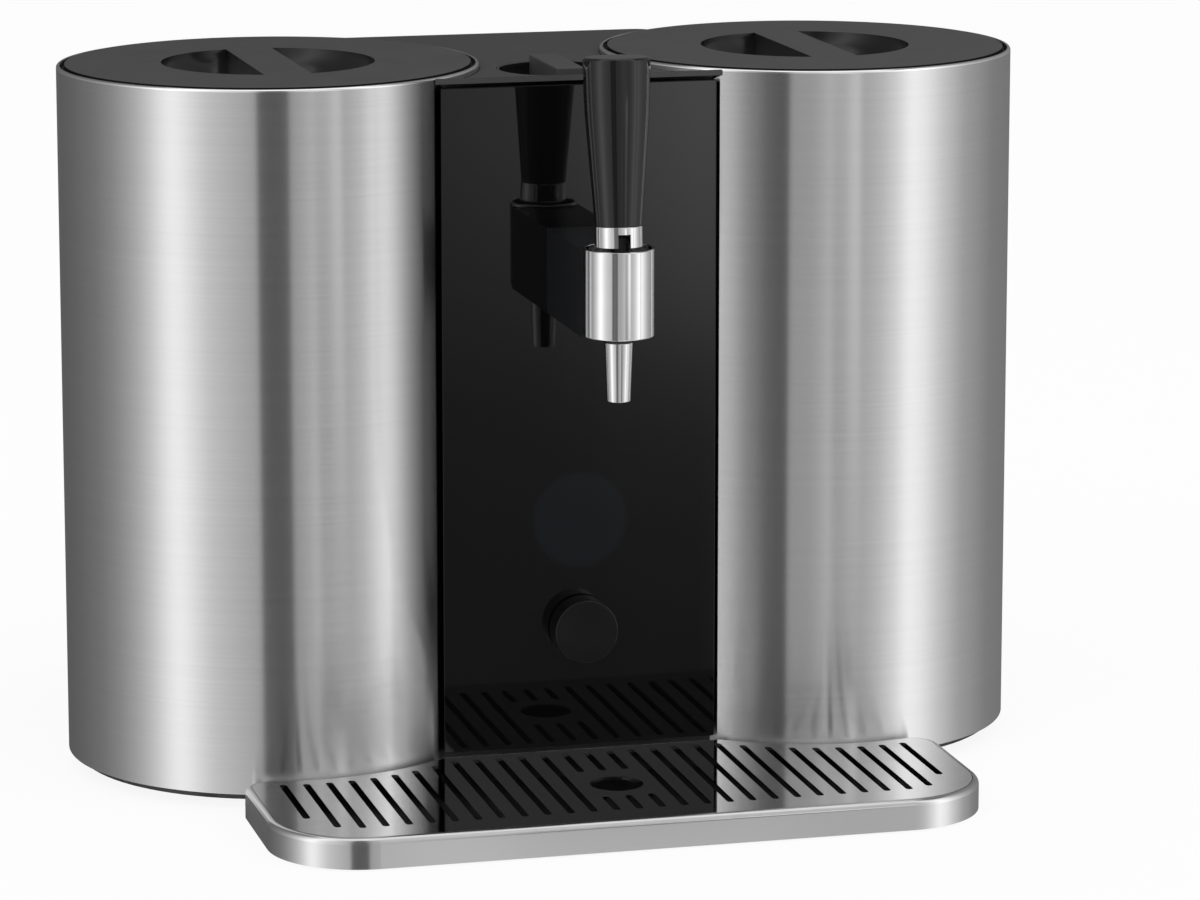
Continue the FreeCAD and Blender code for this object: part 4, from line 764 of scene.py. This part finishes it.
for side, word in both_sides:
    lid = gripped_lid()
    print("open edges:", len([edge for edge in lid.edges if not edge.is_manifold]))
    eased(lid, 0.7, lambda edge: all(abs(vert.co.z - drum_top) < 1e-3 and vert.co.xy.length < 60
                                     for vert in edge.verts), segments=3)
    # Inside the bowl and on the bar's walls the darker gloss black is painted shade of the recess, with a
    # glossier finish.
    for face in lid.faces:
        middle = face.calc_center_median()
        inside = middle.z < drum_top - 0.5 and middle.xy.length < bowl_radius and face.normal.z > -0.1
        # The groove's walls are painted near-black as the shade in the gap beside the drum's rim.
        beside = middle.z < drum_top - 0.2 and middle.xy.length > lid_radius - groove - 0.1
        face.material_index = 1 if inside else 2 if beside else 0
    hand_over(word + "_lid", moved(lid, side * drum_x), word + "_lid_top", [word + "_lid_cap"],
              [lid_plastic, bowl_gloss_painted_shade, near_black_edge_and_groove_shade])

# %% [markdown]
# ## Top deck
# The deck fills the space between the drums, with a round hole for the capsule hatch. It starts as its flat
# top skin, whose outline follows both drums. The edge at the sides and behind is pulled down as a skirt, and
# Solidify's operator then gives the whole skin its wall. In front it thins to a lip over the glass.

# %% Deck
deck_arc = drum_radius + 0.4
deck_corner = drum_x - math.sqrt(deck_arc ** 2 - glass_front ** 2)
deck_side = 92.0
deck_rear = 120.0
skirt_low = 352.0
side_meet = math.sqrt(deck_arc ** 2 - (drum_x - deck_side) ** 2)
front_swing = math.degrees(math.asin(-glass_front / deck_arc) + math.asin(side_meet / deck_arc))
deck_steps = [(-deck_corner, glass_front), (deck_corner, glass_front), Turn(drum_x, 0, -front_swing, 28),
              (deck_side, deck_rear, 10.0), (-deck_side, deck_rear, 10.0), (-deck_side, side_meet),
              Turn(-drum_x, 0, -front_swing, 28)]
deck = bmesh.new()
for steps in (deck_steps, [(31.6, hatch_y), Turn(0, hatch_y, 357.0, 90)]):
    wire(deck, steps, True, False)
bmesh.ops.triangle_fill(deck, use_beauty=True, use_dissolve=False, edges=deck.edges[:], normal=(0, 0, 1))
bmesh.ops.translate(deck, verts=deck.verts, vec=(0, 0, deck_top))
behind = [edge for edge in deck.edges
          if edge.is_boundary and all(vert.co.y > side_meet - 0.1 for vert in edge.verts)]
pulled = bmesh.ops.extrude_edge_only(deck, edges=behind)
for vert in [part for part in pulled["geom"] if isinstance(part, bmesh.types.BMVert)]:
    vert.co.z = skirt_low
bmesh.ops.recalc_face_normals(deck, faces=deck.faces)
if max(deck.faces, key=lambda face: face.calc_area()).normal.z < 0:
    bmesh.ops.reverse_faces(deck, faces=deck.faces)
bmesh.ops.solidify(deck, geom=deck.faces[:], thickness=3.0)
for vert in deck.verts:
    if vert.co.y < glass_front + 4.4 and deck_top - 4 < vert.co.z < deck_top - 1:
        vert.co.z = deck_top - 1.5
eased(deck, 0.5, lambda edge: all(vert.co.z > deck_top - 0.1 for vert in edge.verts))
heights = [vert.co.z for vert in deck.verts]
print("deck from", round(min(heights), 1), "to", round(max(heights), 1))
hand_over("deck", deck, "chassis", ["top_deck"], deck_plastic)

# %% [markdown]
# ## Capsule hatch
# The hatch is a small dish with a raised bar across it. The dish is turned; the bar is a block whose long
# top edges are rounded where fingers take it.

# %% Hatch cap
hatch_radius = 31.2
hatch_inside = hatch_radius - 0.9
hatch_round = 8


def block(low, high):
    """A box between two corners."""
    shape = bmesh.new()
    bmesh.ops.create_cube(shape, size=1.0)
    size = [high[i] - low[i] for i in range(3)]
    bmesh.ops.scale(shape, verts=shape.verts, vec=size)
    bmesh.ops.translate(shape, verts=shape.verts, vec=[(high[i] + low[i]) / 2 for i in range(3)])
    return shape


def joined(first, *others):
    """Puts other shapes into the first one."""
    for other in others:
        mesh = bpy.data.meshes.new("joining")
        other.to_mesh(mesh)
        other.free()
        first.from_mesh(mesh)
        bpy.data.meshes.remove(mesh)
    return first


hatch = turned([(0, 358), (hatch_radius - hatch_round, 358), Turn(hatch_radius - hatch_round, 366, 90),
                (hatch_radius, deck_top, 0.3), (hatch_inside, deck_top, 0.3), (hatch_inside, 368),
                Turn(hatch_inside - hatch_round, 368, -90), (0, 360)], closed=False, segments=96)
hatch_bar = block((-7.5, -29.8, 359.5), (7.5, 29.8, drum_top))
eased(hatch_bar, 0.8, segments=3)
# The dish's inside takes the same darker gloss black: painted shade of the recess, with a glossier finish.
for face in hatch.faces:
    middle = face.calc_center_median()
    face.material_index = 1 if middle.z < deck_top - 0.4 and middle.xy.length < 30.4 and middle.z > 359 else 0
hand_over("hatch", moved(joined(hatch, hatch_bar), 0, hatch_y), "hatch_top", ["hatch_cap"],
          [lid_plastic, bowl_gloss_painted_shade])

# %% [markdown]
# ## Glass front
# The glass is 4 mm thick and its sides follow the drums. It is an upright plate with a hole for the tap and
# one for the dial; the vertices of its back face move in to the drum's curve before the edges are polished.

# %% Glass
glass_arc = drum_radius + 2.1
glass_half = drum_x - math.sqrt(glass_arc ** 2 - glass_front ** 2)
glass_back_half = drum_x - math.sqrt(glass_arc ** 2 - (glass_front + 4) ** 2)
glass = plate([(-glass_half, 17.5), (glass_half, 17.5), (glass_half, 369), (-glass_half, 369)],
              [[(8.1, 272.5), Turn(0, 272.5, 352.5, 47)], [(4.6, knob_z), Turn(0, knob_z, 352.5, 47)]],
              glass_front, glass_front + 4, upright=True)
for vert in glass.verts:
    if vert.co.y > glass_front + 3 and abs(vert.co.x) > 60:
        vert.co.x = math.copysign(glass_back_half, vert.co.x)
eased(glass, 0.6, segments=2)
# The bevelled edges take the near-black edge finish.
for face in glass.faces:
    face.material_index = 1 if abs(face.normal.y) < 0.9 else 0
hand_over("glass", glass, "chassis", ["front_glass"], [glass_finish, near_black_edge_and_groove_shade])

# %% [markdown]
# ## Tap
# A black arm comes out of the glass and clasps a chrome cup. A black core stands in the cup and carries the
# lever's pin on a small post. The spout hangs under it behind a dark seal.

# %% Arm, cup and core
arm_half = 18
arm_back = glass_front - 0.1
clasp_start = 3.01
clasp_angle = math.degrees(math.asin(clasp_start / 18.25))
arm = plate([(-arm_half, arm_back), (arm_half, arm_back), (arm_half, tap_y + clasp_start),
             Turn(0, tap_y, 180 - 2 * clasp_angle, 32)], [], 250, 294.5)
eased(arm, 0.7, lambda edge: all(vert.co.y > tap_y + 10 for vert in edge.verts) or
      all(abs(vert.co.x) > arm_half - 0.1 for vert in edge.verts), segments=3)
hand_over("tap_arm", arm, "chassis", ["tap_bracket"], arm_plastic)
cup = turned([(6.3, 251.2), (18.15, 251.2, 0.7), (18.15, 296.2, 0.7), (16.55, 296.2, 0.4),
              (16.55, 253.2), (6.3, 253.2)], segments=96)
hand_over("tap_cup", moved(cup, 0, tap_y), "chassis", ["tap_sleeve"], chrome)
core = turned([(0, 253.3), (16.45, 253.3), (16.45, 288.5, 0.6), (0, 288.5)], closed=False, segments=64)
post = plate([(-4, 287), (4, 287), (4, 300), Turn(0, 300, 180, 20)], [], -3, 3, upright=True)
eased(post, 0.3)
core = moved(joined(core, quarter_turn(post, "Z")), 0, tap_y)
hand_over("tap_core", core, "chassis", ["tap_insert"], dark_plastic)

# %% Spout and its seal
spout = turned([(4.5, 217.6, 0.3), (6.1, 217.6, 0.3), (7.3, 247.9, 0.4), (6.2, 247.9), (6.2, 253.2),
                (4.6, 253.2), (4.5, 247.9)], segments=72)
hand_over("spout", moved(spout, 0, tap_y), "chassis", ["tap_nozzle"], chrome)
seal = turned([(6.3, 248), (6.8, 248, 0.2), (6.8, 251.1, 0.2), (6.3, 251.1)], segments=64)
hand_over("spout_ring", moved(seal, 0, tap_y), "chassis", ["spout_seal"], rubber)

# %% [markdown]
# ## Lever
# The collar is a thin chrome cap, notched in front where the post shows. Its skin is turned, the notch is cut
# out with planes, and Solidify's operator gives it its wall. The handle widens upwards, and the whole lever
# leans back 3 degrees.

# %% Collar
collar = turned([(12.3, 296.9), (12.3, 307.4, 0.4), (0, 307.4)], closed=False, segments=96)
notch_half = 3.2
notch_top = 303.7
cut_along(collar, ((notch_half, 0, 0), (1, 0, 0)), ((-notch_half, 0, 0), (1, 0, 0)),
          ((0, 0, notch_top), (0, 0, 1)))
notch = [face for face in collar.faces if abs(face.calc_center_median().x) < notch_half
         and face.calc_center_median().y < -8 and face.calc_center_median().z < notch_top]
bmesh.ops.delete(collar, geom=notch, context="FACES")
bmesh.ops.recalc_face_normals(collar, faces=collar.faces)
if max(collar.faces, key=lambda face: face.calc_center_median().z).normal.z < 0:
    bmesh.ops.reverse_faces(collar, faces=collar.faces)
bmesh.ops.solidify(collar, geom=collar.faces[:], thickness=1.9)
hand_over("lever_collar", leaned(moved(collar, 0, tap_y)), "tap_lever", ["lever_ferrule"], chrome)

# %% Handle and pin
handle = turned([(0, 307.4), (11.95, 307.4, 0.4), (16.5, 366, 9.0), (17.15, 392.2, 1.4), (0, 392.2)],
                closed=False, segments=96)
hand_over("lever_grip", leaned(moved(handle, 0, tap_y)), "tap_lever", ["lever_handle"], gloss_plastic)
pin = turned([(0, -11.9), (2, -11.9, 0.3), (2, 11.9, 0.3), (0, 11.9)], closed=False, segments=32)
pin = moved(quarter_turn(pin, "Y"), 0, tap_y, lever_pivot.z)
hand_over("lever_pivot", leaned(pin), "tap_lever", ["lever_pin"], plain_steel)

# %% [markdown]
# ## Dial
# The dial is a plain black cap standing a little off the glass, with a soft edge. It is turned about Z and
# then laid along Y, so that its height runs towards the user.

# %% Dial
knob_back = glass_front - 1.6
dial = turned([(0, 3.4), (15, 3.4), (15, 0), (17, 0, 0.4), (17, 13.4, 0.9), (0, 13.4)], closed=False,
              segments=96)
dial = moved(quarter_turn(dial, "X"), 0, knob_back, knob_z)
hand_over("dial_cap", dial, "dial", ["dial_knob"], knob_plastic)

# %% [markdown]
# ## Drip tray
# Seen from above the tray has straight sides, round front corners and a back that hugs both drums. All of its
# parts share that outline at different insets, so it is written once, as a function of the inset.

# %% The tray's outline
front_corner = 48.0
tip_round = 14.0
gap_to_drum = 1.5
tip_x = tray_half - tip_round
tip_y = -math.sqrt((drum_radius + gap_to_drum + tip_round) ** 2 - (tip_x - drum_x) ** 2)
tip_swing = math.degrees(math.atan2(-tip_y, drum_x - tip_x))
back_y = glass_front - gap_to_drum


def tray_outline(inset):
    arc = drum_radius + gap_to_drum + inset
    half = tray_half - inset
    front = tray_front + inset
    corner_x = tray_half - front_corner
    corner_y = tray_front + front_corner
    rear = back_y - inset
    meet = -math.sqrt(arc ** 2 - rear ** 2)
    drum_swing = math.degrees(math.atan2(rear, meet) - math.atan2(tip_y, tip_x - drum_x))
    return [(-corner_x, front), (corner_x, front), Turn(corner_x, corner_y, 90, 20), (half, tip_y),
            Turn(tip_x, tip_y, tip_swing, 14), Turn(drum_x, 0, drum_swing, 20), (-drum_x - meet, rear),
            Turn(-drum_x, 0, drum_swing, 20), Turn(-tip_x, tip_y, tip_swing, 14), (-half, corner_y),
            Turn(-corner_x, corner_y, 90, 20)]


# %% [markdown]
# ### Band
# The band is a sheet on edge whose top rolls inwards to a smooth lip. Wires at growing insets and heights are
# bridged to a skin, a notch is cut behind for the pan's tongue, and the skin gets its thickness inwards.

# %% Band
lip = 3.2
tongue_half = 45.1
tongue_top = 3.8
band = bmesh.new()
levels = [(0.0, 0.8), (0.0, tray_top - lip)]
for part in range(1, 7):
    swing = math.radians(15 * part)
    levels.append((lip * (1 - math.cos(swing)), tray_top - lip + lip * math.sin(swing)))
below = None
for inset, up in levels:
    old = set(band.verts)
    loop = wire(band, tray_outline(inset), True, False)
    for vert in band.verts:
        if vert not in old:
            vert.co.z = up
    if below:
        bmesh.ops.bridge_loops(band, edges=below + loop)
    below = loop
cut_along(band, ((tongue_half, 0, 0), (1, 0, 0)), ((-tongue_half, 0, 0), (1, 0, 0)),
          ((0, 0, tongue_top), (0, 0, 1)))
notch = [face for face in band.faces if abs(face.calc_center_median().x) < tongue_half
         and face.calc_center_median().z < tongue_top and face.calc_center_median().y > -100]
bmesh.ops.delete(band, geom=notch, context="FACES")
bmesh.ops.recalc_face_normals(band, faces=band.faces)
front_face = min(band.faces, key=lambda face: face.calc_center_median().y)
if front_face.normal.y > 0:
    bmesh.ops.reverse_faces(band, faces=band.faces)
bmesh.ops.solidify(band, geom=band.faces[:], thickness=1.6)
for face in band.faces:
    face.material_index = 1 if face.calc_center_median().z > tray_top - lip else 0
print("band stands", round(min(vert.co.z for vert in band.verts), 2), "mm off the floor")
hand_over("tray_edge", band, "tray", ["tray_band"], [band_steel, lip_steel])

# %% [markdown]
# ### Slotted plate
# The slots run front to back at one pitch. Behind they end on the drums' curve, in front they end on a line
# that bends round the corners, and the three in the middle stop short of the drain hole.

# %% Slots
slot_pitch = 11.9
slot_half = 1.9
drain_radius = 13.75
drain_gap = 22.5


def slot_outline(x, front, rear):
    return [(x + slot_half, front + slot_half), (x + slot_half, rear - slot_half),
            Turn(x, rear - slot_half, 180, 8), (x - slot_half, front + slot_half),
            Turn(x, front + slot_half, 180, 8)]


slots = []
for count in range(-14, 15):
    x = count * slot_pitch
    away = abs(x) - drum_x
    rear = min(glass_front - 12, -math.sqrt(max(0.0, (drum_radius + 12) ** 2 - away ** 2)))
    past = max(0.0, abs(x) - (tray_half - front_corner))
    front = max(tray_front + 20.5, tray_front + front_corner - math.sqrt(28.5 ** 2 - past ** 2))
    if abs(x) < drain_radius:
        slots.append(slot_outline(x, front, drain_y - drain_gap))
        slots.append(slot_outline(x, drain_y + drain_gap + 4, rear))
    else:
        slots.append(slot_outline(x, front, rear))
print(len(slots), "slots")

# %% Plate
drain = [(drain_radius, drain_y), Turn(0, drain_y, 354, 59)]
slotted = plate(tray_outline(lip + 0.3), slots + [drain], 14.8, tray_top)
eased(slotted, 0.3, lambda edge: all(vert.co.z > tray_top - 0.01 for vert in edge.verts), segments=2)
hand_over("tray_plate", slotted, "tray_grille", ["drip_grille"], plate_steel)

# %% [markdown]
# ## Pieces that keep their CAD shape
# Inside the machine the CAD solids already have the right shape. A copy of each is merged, so that it can be
# shaded smoothly, and it gets its finish. What never shows keeps its own solid and only takes a finish.

# %% Merged copies of inner solids
def merged_copy(name):
    shape = bmesh.new()
    shape.from_mesh(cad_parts[name].data)
    shape.transform(Matrix.Translation((0, -drum_line, 0)) @ Matrix.Scale(1 / METRE, 4))
    bmesh.ops.remove_doubles(shape, verts=shape.verts, dist=1e-3)
    return shape


inner_pieces = {
    "left_tub": ("chassis", "left_well", well_plastic, "well_plastic"),
    "right_tub": ("chassis", "right_well", well_plastic, "well_plastic"),
    "keg_body": ("keg", "fermenting_keg", keg_steel, "keg_steel"),
    "keg_closure_cap": ("keg_closure", "keg_cap", dark_plastic, "dark_plastic"),
    "tank_body": ("tank", "water_tank", clear_plastic, "clear_plastic"),
    "left_plug": ("left_lid", "left_lid_plug", well_plastic, "well_plastic"),
    "right_plug": ("right_lid", "right_lid_plug", well_plastic, "well_plastic"),
    "left_lip_seal": ("left_lid", "left_lid_seal", silicone, "hose"),
    "right_lip_seal": ("right_lid", "right_lid_seal", silicone, "hose"),
    "hatch_ring": ("hatch", "hatch_plug", well_plastic, "well_plastic"),
    "hatch_cup": ("chassis", "capsule_well", well_plastic, "well_plastic"),
    "capsule_rack": ("carrier", "capsule_carrier", dark_plastic, "dark_plastic"),
    "capsule_cups": ("carrier", "capsules", shell_plastic, "capsule_shell"),
    # The drip pan takes the darker copy of the dark plastic, painted shade under the slotted plate.
    "tray_tub": ("tray", "tray_pan", pan_painted_shade, "dark_plastic"),
    "floor_pan": ("chassis", "base_pan", dark_plastic, "dark_plastic"),
    "rubber_feet": ("chassis", "feet", rubber, "rubber"),
    "back_cover": ("chassis", "rear_cover", dark_plastic, "dark_plastic"),
    "mains_socket": ("chassis", "power_inlet", dark_plastic, "dark_plastic"),
    "back_screws": ("chassis", "cover_screws", plain_steel, "steel"),
}
for name, (body, solid, finish, slot) in inner_pieces.items():
    hand_over(name, merged_copy(solid), body, [solid], finish, 32.0)

# %% Finishes on hidden solids
hidden_solids = {
    foam: ["keg_foam"],
    aluminium: ["cooling_jacket", "condenser"],
    dark_plastic: ["outlet_couplers", "front_frame", "fan_shroud", "fan_impeller", "water_pump"],
    screen_plastic: ["display_module"],
    board_green: ["control_board", "power_board"],
    plain_steel: ["dial_encoder", "tap_shank", "tap_nut", "tap_plunger", "dial_stem", "keg_valve",
                  "tank_valve"],
    enamel: ["compressor"],
    rubber: ["compressor_mounts"],
    silicone: ["hoses"],
    well_plastic: ["valve_block"],
}
for finish, names in hidden_solids.items():
    for name in names:
        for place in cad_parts[name].material_slots:
            place.material = finish
print("hidden solids:", sum(len(names) for names in hidden_solids.values()))
